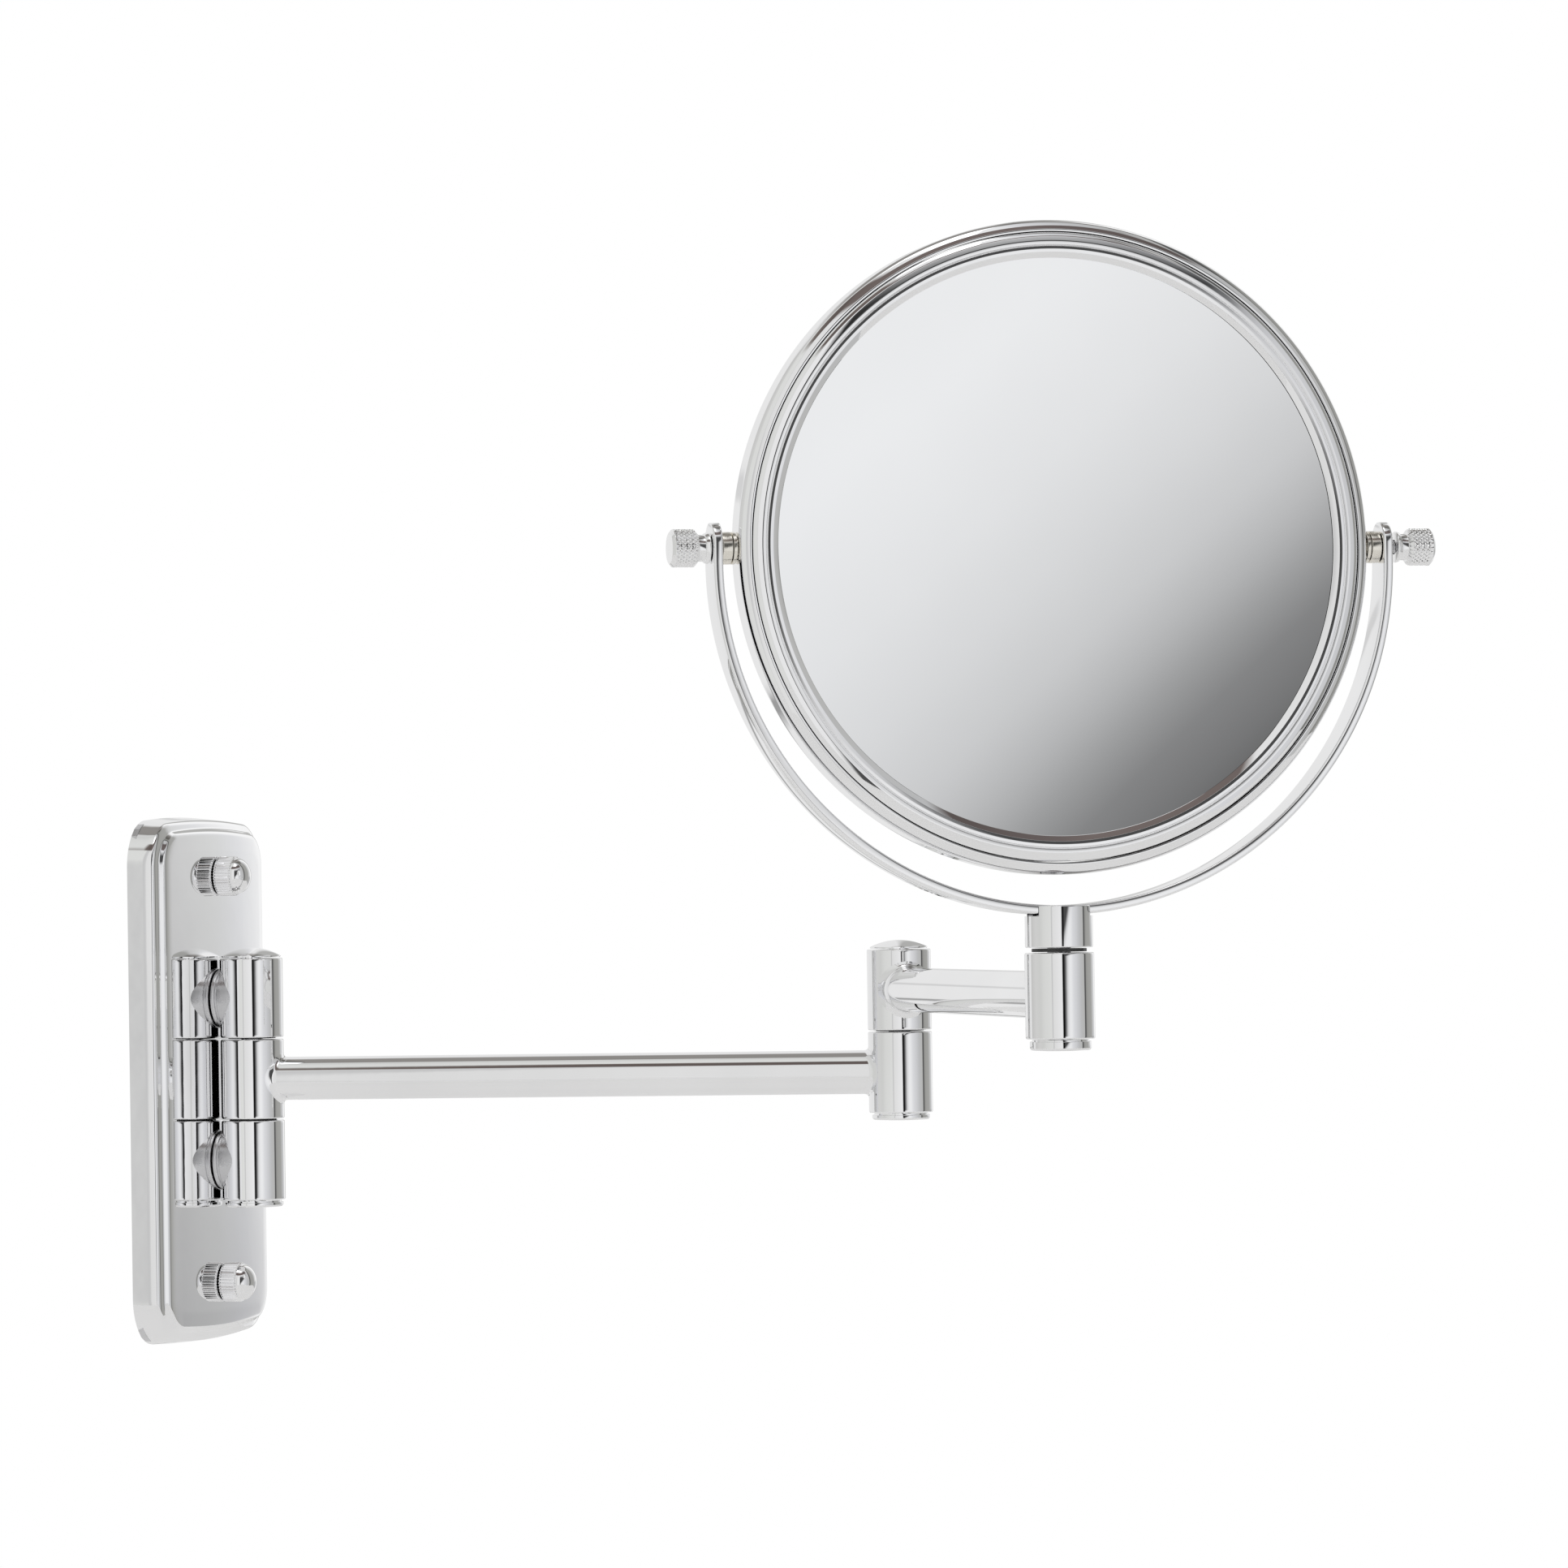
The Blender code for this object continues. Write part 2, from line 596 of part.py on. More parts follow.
def bezel_profile():
    """Section of the front bezel: a lip over the glass, a raised ring and a broad rounded shoulder."""
    seat = GLASS_SEAT + 0.35 * MM
    recess = GLASS_RADIUS + 0.35 * MM
    return [
        (OPENING_RADIUS, seat + 0.1 * MM),
        (91.0 * MM, BEZEL_TOP),
        (94.6 * MM, BEZEL_TOP),
        (96.4 * MM, BEZEL_TOP - 0.5 * MM),
        (BEZEL_RADIUS, BEZEL_TOP - 1.6 * MM),
        (BEZEL_RADIUS, BEZEL_BOTTOM),
        (recess, BEZEL_BOTTOM),
        (recess, seat),
        (OPENING_RADIUS, seat),
    ]


def make_rim(head):
    """The outer ring, bored at both sides for the pivots."""
    half = RIM_HALF_DEPTH
    front = [(RIM_INNER_RADIUS, half), (100.6 * MM, half), (HEAD_RADIUS, half - 1.0 * MM)]
    profile = front + [(r, -z) for r, z in reversed(front)]
    rim = turned("rim_ring", profile, head, "chrome", closed=True, steps=FINE, rotation=ALONG_OUT)
    bore = INSERT_RADIUS + GAP
    reach = HEAD_RADIUS + 8 * MM
    boolean(rim, rod("rim_pivot_holes", bore, -reach, reach, head, steps=SMALL, rotation=ALONG_RIGHT))


def make_glass(head):
    """A concave magnifying glass in front and a plain one behind, with a pad between them."""
    rings = 4
    radii = [GLASS_RADIUS * i / rings for i in range(rings + 1)]
    edge_rise = GLASS_RADIUS**2 / (2 * MAGNIFIER_CURVE)
    front = [(r, GLASS_SEAT - edge_rise + r**2 / (2 * MAGNIFIER_CURVE)) for r in radii]
    back = [(r, z - GLASS_THICKNESS) for r, z in reversed(front)]
    turned("magnifying_glass", front + back, head, "mirror_glass", steps=FINE, rotation=ALONG_OUT)
    plain_top = GLASS_THICKNESS - GLASS_SEAT
    rod("plain_glass", GLASS_RADIUS, -GLASS_SEAT, plain_top, head, "mirror_glass",
        steps=FINE, rotation=ALONG_OUT)
    pad_top = GLASS_SEAT - edge_rise - GLASS_THICKNESS - GAP
    rod("backing_pad", PAD_RADIUS, plain_top + GAP, pad_top, head, "felt", steps=FINE, rotation=ALONG_OUT)


def make_pivot_side(name, turn, head):
    """A flanged insert through the rim, and the bush between it and the strap."""
    seat = HEAD_RADIUS + GAP
    flange = seat + 1.1 * MM
    inner_end = GLASS_RADIUS + 0.7 * MM
    insert = [(SCREW_BORE, flange), (SPACER_RADIUS, flange), (SPACER_RADIUS, seat)]
    insert += [(INSERT_RADIUS, seat), (INSERT_RADIUS, inner_end), (SCREW_BORE, inner_end)]
    turned(f"{name}_pivot_insert", insert, head, "nickel", closed=True, steps=SMALL, rotation=turn)
    bush_end = STRAP_INNER_RADIUS - GAP
    ring(f"{name}_spacer", SCREW_BORE, SPACER_RADIUS, flange + GAP, bush_end, head, "nickel",
         steps=SMALL, rotation=turn)


def make_mirror_head(head):
    make_rim(head)
    front = bezel_profile()
    rear = [(r, -z) for r, z in reversed(front)]
    for name, profile in (("front_bezel", front), ("rear_bezel", rear)):
        turned(name, profile, head, "chrome", closed=True, steps=FINE, rotation=ALONG_OUT)
    make_glass(head)
    make_pivot_side("left", ALONG_LEFT, head)
    make_pivot_side("right", ALONG_RIGHT, head)


# ---------------------------------------------------------------- clamp knobs


def make_knob(name, turn, backed_off, screw_frame, knob_frame):
    """A screw through the strap into the head's insert, and the knob that turns it."""
    seat = STRAP_INNER_RADIUS + STRAP_THICKNESS + GAP + backed_off
    flange = seat + 1.5 * MM
    neck = seat + 3.7 * MM
    end = seat + KNOB_LENGTH
    bore_end = seat + 8.0 * MM
    chamfer = 1.1 * MM
    profile = [
        (0, end),
        (KNOB_RADIUS - chamfer, end),
        (KNOB_RADIUS, end - chamfer),
        (KNOB_RADIUS, neck + chamfer),
        (NECK_RADIUS, neck),
        (NECK_RADIUS, flange),
        (KNOB_FLANGE_RADIUS, flange),
        (KNOB_FLANGE_RADIUS, seat),
        (SCREW_BORE, seat),
        (SCREW_BORE, bore_end),
        (0, bore_end),
    ]
    turned(f"{name}_knob", profile, knob_frame, "chrome", rotation=turn)
    tip = GLASS_RADIUS + 1.4 * MM + backed_off
    rod(f"{name}_knob_screw", SCREW_RADIUS, tip, bore_end - GAP, screw_frame, "steel",
        steps=SMALL, rotation=turn)


# ---------------------------------------------------------------- assembly


def along(start, turn, length):
    return (start[0] + length * math.sin(turn), start[1] - length * math.cos(turn), start[2])


def main():
    root = new_empty("wall_mount_frame", (0, 0, 0))
    hinge_at = (0, -HINGE_OFFSET, 0)
    elbow_at = along(hinge_at, FIRST_ARM_TURN, FIRST_ARM_LENGTH)
    swivel_at = along(elbow_at, SECOND_ARM_TURN, SECOND_ARM_LENGTH)
    pivot_at = (swivel_at[0], swivel_at[1], PIVOT_HEIGHT)
    hinge = new_empty("hinge_frame", hinge_at)
    first_arm = new_empty("first_arm_frame", hinge_at, FIRST_ARM_TURN)
    second_arm = new_empty("second_arm_frame", elbow_at, SECOND_ARM_TURN)
    yoke = new_empty("yoke_frame", swivel_at, SECOND_ARM_TURN)
    head = new_empty("mirror_head_frame", pivot_at, SECOND_ARM_TURN)
    make_wall_plate(root)
    make_bracket(root)
    make_fixing("upper", 1, root)
    make_fixing("lower", -1, root)
    make_hinge_column(root, hinge, first_arm)
    make_first_arm(first_arm)
    make_second_arm(second_arm)
    make_yoke(yoke)
    make_mirror_head(head)
    for name, turn, backed_off in (("left", ALONG_LEFT, 0.0), ("right", ALONG_RIGHT, RIGHT_KNOB_BACKED_OFF)):
        screw_frame = new_empty(f"{name}_screw_frame", pivot_at, SECOND_ARM_TURN)
        knob_frame = new_empty(f"{name}_knob_frame", pivot_at, SECOND_ARM_TURN)
        make_knob(name, turn, backed_off, screw_frame, knob_frame)


main()
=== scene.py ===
"""Looks for the extendable shaving mirror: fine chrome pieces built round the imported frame."""

import json
import math

import bmesh
import bpy
from mathutils import Matrix, Vector


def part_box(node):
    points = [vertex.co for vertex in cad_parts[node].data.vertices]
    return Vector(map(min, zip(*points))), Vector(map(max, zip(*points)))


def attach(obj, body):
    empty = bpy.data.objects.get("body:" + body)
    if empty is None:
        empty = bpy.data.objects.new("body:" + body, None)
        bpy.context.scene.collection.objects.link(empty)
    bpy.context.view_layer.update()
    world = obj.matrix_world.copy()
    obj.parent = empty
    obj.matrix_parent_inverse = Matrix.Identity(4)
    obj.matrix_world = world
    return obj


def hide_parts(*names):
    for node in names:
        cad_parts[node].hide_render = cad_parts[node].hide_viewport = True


MM = 0.001
ROUND = 96  # steps round a barrel
FINE = 256  # steps round the mirror head
SMALL = 48  # steps round a screw
LEVEL = 1.0 * MM  # how soon a barrel's side runs straight after its eased edge
EMBED = 0.05 * MM  # how far a tube's flare reaches into its barrel

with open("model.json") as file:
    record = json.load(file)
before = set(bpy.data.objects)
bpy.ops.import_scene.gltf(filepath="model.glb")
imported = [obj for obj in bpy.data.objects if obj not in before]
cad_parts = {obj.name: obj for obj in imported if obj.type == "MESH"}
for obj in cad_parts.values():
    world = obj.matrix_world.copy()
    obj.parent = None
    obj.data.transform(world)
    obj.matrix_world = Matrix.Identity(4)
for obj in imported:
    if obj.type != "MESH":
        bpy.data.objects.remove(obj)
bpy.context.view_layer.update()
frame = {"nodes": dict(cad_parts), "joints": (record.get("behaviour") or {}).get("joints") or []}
JOINTS = {joint["name"]: joint for joint in frame["joints"]}


# ---------------------------------------------------------------- places, read from the frame


def joint_at(name):
    return Vector(JOINTS[name]["pos_m"])


def facing(origin, direction):
    """A frame at origin whose -Y points along direction, with Z up."""
    turn = math.atan2(direction.x, -direction.y)
    return Matrix.Translation(origin) @ Matrix.Rotation(turn, 4, "Z")


HINGE = joint_at("wall_hinge")
ELBOW = joint_at("elbow_hinge")
SWIVEL = joint_at("mirror_swivel")
PIVOT = joint_at("mirror_tilt")
RIGHT = Vector(JOINTS["mirror_tilt"]["axis"])
FRONT = Vector((RIGHT.y, -RIGHT.x, 0.0))
WALL = Matrix.Identity(4)
COLUMN = Matrix.Translation((HINGE.x, HINGE.y, 0))
ARM_ONE = facing((HINGE.x, HINGE.y, 0), ELBOW - HINGE)
ARM_TWO = facing((ELBOW.x, ELBOW.y, 0), SWIVEL - ELBOW)
YOKE = facing((SWIVEL.x, SWIVEL.y, 0), FRONT)
HEAD = facing(PIVOT, FRONT)
ARM_ONE_LENGTH = (ELBOW - HINGE).to_2d().length
ARM_TWO_LENGTH = (SWIVEL - ELBOW).to_2d().length
ELBOW_OF_ONE = ARM_ONE @ Matrix.Translation((0, -ARM_ONE_LENGTH, 0))
SWIVEL_OF_TWO = ARM_TWO @ Matrix.Translation((0, -ARM_TWO_LENGTH, 0))

OUT = Matrix.Rotation(math.pi / 2, 4, "X")  # a lathe's +Z becomes -Y
TO_RIGHT = Matrix.Rotation(math.pi / 2, 4, "Y")
TO_LEFT = Matrix.Rotation(-math.pi / 2, 4, "Y")


def span(node, axis):
    """Lowest and highest coordinate of a CAD node along a world axis."""
    low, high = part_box(node)
    return low[axis], high[axis]


def reach(node, origin, direction):
    """Nearest and farthest a CAD node's points lie along a direction from origin."""
    distances = [(v.co - origin).dot(direction) for v in frame["nodes"][node].data.vertices]
    return min(distances), max(distances)


def radius_about(node, origin, direction):
    """Largest distance of a CAD node's points from the axis through origin along direction."""
    best = 0.0
    for vertex in frame["nodes"][node].data.vertices:
        offset = vertex.co - origin
        best = max(best, (offset - direction * offset.dot(direction)).length)
    return best


UP = Vector((0, 0, 1))
BARREL_RADIUS = radius_about("middle_knuckle", HINGE, UP)
TUBE_RADIUS = (span("first_arm_tube", 2)[1] - span("first_arm_tube", 2)[0]) / 2
BORE_RADIUS = 4.0 * MM
PLATE_DEPTH = -span("wall_plate", 1)[0]
HEAD_RADIUS = radius_about("rim_ring", PIVOT, FRONT)
GAP = 0.3 * MM


# ---------------------------------------------------------------- materials


def new_nodes(name):
    material = bpy.data.materials.new(name)
    material.use_nodes = True
    tree = material.node_tree
    return material, tree, tree.nodes["Principled BSDF"]


def noise(tree, scale, detail=3.0, stretch=None):
    """Procedural noise in the piece's own coordinates."""
    place = tree.nodes.new("ShaderNodeTexCoord")
    texture = tree.nodes.new("ShaderNodeTexNoise")
    texture.inputs["Scale"].default_value = scale
    texture.inputs["Detail"].default_value = detail
    source = place.outputs["Object"]
    if stretch:
        mapping = tree.nodes.new("ShaderNodeMapping")
        mapping.inputs["Scale"].default_value = stretch
        tree.links.new(source, mapping.inputs["Vector"])
        source = mapping.outputs["Vector"]
    tree.links.new(source, texture.inputs["Vector"])
    return texture.outputs["Fac"]


NOISE_LOW, NOISE_HIGH = 0.3, 0.7  # the part of a noise's range that matters


def blend(tree, factor, low, high):
    """Maps a noise factor to a number between low and high."""
    node = tree.nodes.new("ShaderNodeMapRange")
    node.inputs["From Min"].default_value = NOISE_LOW
    node.inputs["From Max"].default_value = NOISE_HIGH
    node.inputs["To Min"].default_value = low
    node.inputs["To Max"].default_value = high
    tree.links.new(factor, node.inputs["Value"])
    return node.outputs["Result"]


def tint(tree, factor, dark, light):
    """Maps a noise factor to a colour between dark and light."""
    ramp = tree.nodes.new("ShaderNodeValToRGB")
    ramp.color_ramp.elements[0].position = NOISE_LOW
    ramp.color_ramp.elements[0].color = (*dark, 1)
    ramp.color_ramp.elements[1].position = NOISE_HIGH
    ramp.color_ramp.elements[1].color = (*light, 1)
    tree.links.new(factor, ramp.inputs["Fac"])
    return ramp.outputs["Color"]


def add_bump(tree, shader, height, depth):
    bump = tree.nodes.new("ShaderNodeBump")
    bump.inputs["Distance"].default_value = depth
    tree.links.new(height, bump.inputs["Height"])
    tree.links.new(bump.outputs["Normal"], shader.inputs["Normal"])


def make_metal(name, dark, light, smooth, rough, wave_scale, wave_depth, stretch=None):
    """Plated or turned metal: patchy polish, slight colour drift and a faint waviness."""
    material, tree, shader = new_nodes(name)
    shader.inputs["Metallic"].default_value = 1.0
    tree.links.new(tint(tree, noise(tree, 22.0), dark, light), shader.inputs["Base Color"])
    tree.links.new(blend(tree, noise(tree, 140.0, 5.0), smooth, rough), shader.inputs["Roughness"])
    add_bump(tree, shader, noise(tree, wave_scale, 2.0, stretch), wave_depth)
    return material


def make_plastic(name, dark, light, rough):
    """Nylon or felt: matt, with a fine grain."""
    material, tree, shader = new_nodes(name)
    tree.links.new(tint(tree, noise(tree, 300.0), dark, light), shader.inputs["Base Color"])
    tree.links.new(blend(tree, noise(tree, 900.0), rough * 0.8, rough * 1.2), shader.inputs["Roughness"])
    add_bump(tree, shader, noise(tree, 2500.0), 0.01 * MM)
    return material


CHROME = make_metal("polished_chrome", (0.90, 0.90, 0.905), (0.945, 0.945, 0.95),
                    0.012, 0.035, 90, 0.02 * MM)
GLASS = make_metal("silvered_glass", (0.94, 0.945, 0.95), (0.955, 0.96, 0.965),
                   0.0, 0.012, 14, 0.004 * MM)
NICKEL = make_metal("warm_nickel", (0.80, 0.76, 0.68), (0.87, 0.84, 0.77),
                    0.14, 0.24, 60, 0.02 * MM, (1, 1, 60))
STEEL = make_metal("zinc_steel", (0.60, 0.60, 0.61), (0.74, 0.74, 0.75),
                   0.22, 0.38, 350, 0.02 * MM)
KNURL = make_metal("knurled_chrome", (0.90, 0.90, 0.90), (0.95, 0.95, 0.95),
                   0.05, 0.10, 300, 0.01 * MM)
NYLON = make_plastic("washer_nylon", (0.035, 0.035, 0.035), (0.06, 0.06, 0.06), 0.45)
FELT = make_plastic("backing_felt", (0.25, 0.25, 0.26), (0.34, 0.34, 0.35), 0.9)


# ---------------------------------------------------------------- mesh tools


def rounded(corners, closed=False, segments=5):
    """Turns (x, y, radius) corners into points, each corner rounded to its radius."""
    points = []
    count = len(corners)
    for i, (x, y, radius) in enumerate(corners):
        corner = Vector((x, y))
        end = not closed and i in (0, count - 1)
        if radius == 0 or end:
            points.append(corner)
            continue
        before = Vector(corners[i - 1][:2]) - corner
        after = Vector(corners[(i + 1) % count][:2]) - corner
        half = before.angle(after) / 2
        run = min(radius / math.tan(half), before.length * 0.49, after.length * 0.49)
        radius = run * math.tan(half)
        centre = corner + (before.normalized() + after.normalized()).normalized() * radius / math.sin(half)
        start = corner + before.normalized() * run - centre
        sweep = start.angle_signed(corner + after.normalized() * run - centre)
        for k in range(segments + 1):
            spoke = start.copy()
            spoke.rotate(Matrix.Rotation(-sweep * k / segments, 2))
            points.append(centre + spoke)
    return points


SMOOTH_ANGLE = 35  # degrees; a sharper edge than this stays crisp


def finish_mesh(name, bm, material, place, smooth_angle=SMOOTH_ANGLE):
    """Turns a finished bmesh into an object at its place."""
    bmesh.ops.recalc_face_normals(bm, faces=bm.faces)
    mesh = bpy.data.meshes.new(name)
    bm.to_mesh(mesh)
    bm.free()
    mesh.shade_smooth()
    mesh.set_sharp_from_angle(angle=math.radians(smooth_angle))
    mesh.materials.append(material)
    obj = bpy.data.objects.new(name, mesh)
    bpy.context.scene.collection.objects.link(obj)
    obj.matrix_world = place
    return obj


def skin(bm, loops, joined=False):
    """Faces between successive loops of vertices; a loop of one vertex is a pole."""
    pairs = list(zip(loops, loops[1:]))
    if joined:
        pairs.append((loops[-1], loops[0]))
    for near, far in pairs:
        count = max(len(near), len(far))
        for i in range(count):
            j = (i + 1) % count
            if len(near) == 1:
                bm.faces.new((near[0], far[j], far[i]))
            elif len(far) == 1:
                bm.faces.new((near[i], near[j], far[0]))
            else:
                bm.faces.new((near[i], near[j], far[j], far[i]))


def lathe(name, profile, material, place, steps=ROUND, closed=False, shape=None):
    """Turns (radius, height) points about Z. shape(radius, height, angle) may change the radius."""
    bm = bmesh.new()
    loops = []
    for radius, height in profile:
        if radius < 1e-7:
            loops.append([bm.verts.new((0, 0, height))])
            continue
        loop = []
        for i in range(steps):
            angle = math.tau * i / steps
            r = shape(radius, height, angle) if shape else radius
            loop.append(bm.verts.new((r * math.cos(angle), r * math.sin(angle), height)))
        loops.append(loop)
    skin(bm, loops, joined=closed)
    return finish_mesh(name, bm, material, place)


def combined(obj, operation, tool):
    """Applies one Boolean and removes the tool."""
    modifier = obj.modifiers.new("cut", "BOOLEAN")
    modifier.operation = operation
    modifier.object = tool
    bpy.context.view_layer.update()
    depsgraph = bpy.context.evaluated_depsgraph_get()
    mesh = bpy.data.meshes.new_from_object(obj.evaluated_get(depsgraph))
    obj.modifiers.clear()
    obj.data = mesh
    mesh.set_sharp_from_angle(angle=math.radians(SMOOTH_ANGLE))
    bpy.data.objects.remove(tool, do_unlink=True)
    return obj


def rod(name, radius, low, high, place, steps=ROUND):
    """A plain cylinder, for cutting round holes."""
    profile = [(0, low), (radius, low), (radius, high), (0, high)]
    return lathe(name, profile, CHROME, place, steps)


def stands_for(obj, body, node):
    """Puts a piece on its body, in place of a CAD node."""
    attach(obj, body)
    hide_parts(node)
    return obj


def carry_over(node, material):
    """A CAD node that stays as it is, with a finer material."""
    mesh = frame["nodes"][node].data
    mesh.materials.clear()
    mesh.materials.append(material)


# ---------------------------------------------------------------- wall plate

PLATE_CORNER = 15.0 * MM
PLATE_ARCH = 2.6 * MM  # how much lower the plate's ends are at its corners than in the middle
FACE_CROWN = 560.0 * MM  # radius of the face's slight crown across its width
FACE_INSET = 8.4 * MM
FACE_RINGS = 24
FIXING_HOLE = 3 * MM
FLUTES = 40
FLUTE_DEPTH = 0.5 * MM
NUT_DOME = 4.8 * MM
NUT_BORE_END = 4.5 * MM  # how far the nut's blind bore stops short of its tip


def plate_section():
    """(inset, depth) of the cover's outside, from the wall to its face, then of its inside.

    The corners are (inset, depth, rounding) in mm.
    """
    outside = [
        (0, 0, 0),
        (0.62, 5.4, 0),
        (1.1, 9.6, 2.6),
        (4.0, 10.7, 1.4),
        (5.3, 13.35, 2.2),
        (8.4, 13.5, 0),
    ]
    inside = [(8.4, 11.4, 0), (5.0, 10.0, 1.0), (2.6, 7.4, 1.0), (1.6, 0, 0)]
    outer = [(p.x * MM, p.y * MM) for p in rounded(outside, segments=8)]
    inner = [(p.x * MM, p.y * MM) for p in rounded(inside, segments=3)]
    return outer, inner


def plate_loop(bm, inset, depth, shrink=1.0, per_corner=16, per_end=14, per_side=24):
    """One outline of the cover: straight sides, round corners and slightly arched ends."""
    low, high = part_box("wall_plate")
    half_x, half_z = (high.x - low.x) / 2, (high.z - low.z) / 2
    across, tall = half_x - inset, half_z - inset
    radius = max(PLATE_CORNER - inset, 4 * MM)
    points = []
    for quarter, (sx, sz) in enumerate(((1, 1), (-1, 1), (-1, -1), (1, -1))):
        for i in range(per_corner + 1):
            angle = math.pi / 2 * (quarter + i / per_corner)
            x = sx * (across - radius) + radius * math.cos(angle)
            z = sz * (tall - radius) + radius * math.sin(angle)
            points.append((x, z))
        steps = per_end if quarter % 2 == 0 else per_side
        turn = math.pi / 2 * (quarter + 1)
        edge_x = radius * math.cos(turn)
        edge_z = radius * math.sin(turn)
        start = (sx * (across - radius) + edge_x, sz * (tall - radius) + edge_z)
        after = ((-1, 1), (-1, -1), (1, -1), (1, 1))[quarter]
        end = (after[0] * (across - radius) + edge_x, after[1] * (tall - radius) + edge_z)
        for i in range(1, steps):
            t = i / steps
            points.append((start[0] + (end[0] - start[0]) * t, start[1] + (end[1] - start[1]) * t))
    loop = []
    for x, z in points:
        x, z = x * shrink, z * shrink
        arch = PLATE_ARCH * (x / half_x) ** 2 * (z / half_z)
        crown = x**2 / (2 * FACE_CROWN) * min(1.0, max(0.0, depth / PLATE_DEPTH - 0.6) / 0.4)
        loop.append(bm.verts.new((x, -depth + crown, z - arch)))
    return loop


def make_wall_plate():
    """The hollow cover, with holes for the two studs and the two knuckle screws."""
    outer, inner = plate_section()
    bm = bmesh.new()
    outside = [plate_loop(bm, inset, depth) for inset, depth in outer]
    shrinks = [1 - k / FACE_RINGS for k in range(1, FACE_RINGS)]
    face = [plate_loop(bm, FACE_INSET, PLATE_DEPTH, shrink) for shrink in shrinks]
    inside = [plate_loop(bm, inset, depth) for inset, depth in inner]
    skin(bm, outside + face)
    skin(bm, inside)
    skin(bm, [inside[-1], outside[0]])
    bm.faces.new(face[-1])
    bm.faces.new(inside[0])
    plate = finish_mesh("cover_plate", bm, CHROME, WALL, 30)
    for node in ("upper_cap_nut", "lower_cap_nut", "upper_knuckle", "lower_knuckle"):
        low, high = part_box(node)
        spot = Matrix.Translation(((low.x + high.x) / 2, 0, (low.z + high.z) / 2))
        combined(plate, "DIFFERENCE", rod("hole", FIXING_HOLE, 5 * MM, 25 * MM, spot @ OUT, SMALL))
    stands_for(plate, "wall_mount", "wall_plate")


def fluted(radius, height, angle, low, high):
    """Radius of the cap nut with its grip flutes between two heights."""
    if not low < height < high:
        return radius
    wave = 0.5 + 0.5 * math.cos(angle * FLUTES)
    return radius - FLUTE_DEPTH * wave**2.2


def make_cap_nut(name):
    """A domed nut with a fluted grip and a blind bore."""
    node = f"{name}_cap_nut"
    low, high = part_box(node)
    place = Matrix.Translation(((low.x + high.x) / 2, 0, (low.z + high.z) / 2)) @ OUT
    seat, tip = -high.y, -low.y
    radius = (high.x - low.x) / 2
    shoulder = tip - NUT_DOME
    bore = FIXING_HOLE
    profile = [Vector((0, tip - NUT_BORE_END)), Vector((bore, tip - NUT_BORE_END)), Vector((bore, seat))]
    for inset, rise in ((0.5, 0.0), (0.3, 0.1), (0.05, 0.35), (0.0, 0.4), (0.0, 0.8)):
        profile.append(Vector((radius - inset * MM, seat + rise * MM)))
    for inset, drop in ((0.0, 0.7), (0.0, 0.35), (0.1, 0.15)):
        profile.append(Vector((radius - inset * MM, shoulder - drop * MM)))
    dome = radius - 0.6 * MM
    dome_steps = 16
    for i in range(dome_steps + 1):
        angle = math.pi / 2 * i / dome_steps
        profile.append(Vector((dome * math.cos(angle), shoulder + NUT_DOME * math.sin(angle))))
    profile[-1].x = 0

    def shape(r, height, angle):
        return fluted(r, height, angle, seat + 0.05 * MM, shoulder - 0.1 * MM) if r > bore else r

    nut = lathe(f"{name}_fluted_nut", profile, CHROME, place, FLUTES * 8, shape=shape)
    stands_for(nut, "wall_mount", node)


# ---------------------------------------------------------------- barrels and caps


EASED_EDGE = 0.45 * MM
RECESS_RADIUS = 8.5 * MM
RECESS_DEPTH = 0.7 * MM
SPIGOT_RADIUS = 3.7 * MM
DOME_SEAT = 3.55 * MM  # from a dome cap's lowest point to the barrel's end


def barrel_profile(low, high, radius, recess_low=False, recess_high=False):
    """Corners of a bored barrel with eased edges, and a washer recess where asked."""
    corners = [(BORE_RADIUS, low + (RECESS_DEPTH if recess_low else 0), 0)]
    if recess_low:
        corners += [(RECESS_RADIUS, low + RECESS_DEPTH, 0), (RECESS_RADIUS, low, 0.1 * MM)]
    corners += [(radius, low, EASED_EDGE), (radius, low + LEVEL, 0)]
    corners += [(radius, high - LEVEL, 0), (radius, high, EASED_EDGE)]
    if recess_high:
        corners += [(RECESS_RADIUS, high, 0.1 * MM), (RECESS_RADIUS, high - RECESS_DEPTH, 0)]
    corners.append((BORE_RADIUS, high - (RECESS_DEPTH if recess_high else 0), 0))
    return rounded(corners, closed=True, segments=4)


def make_barrel(name, node, body, place, **recess):
    low, high = span(node, 2)
    profile = barrel_profile(low, high, BARREL_RADIUS, **recess)
    return stands_for(lathe(name, profile, CHROME, place, closed=True), body, node)


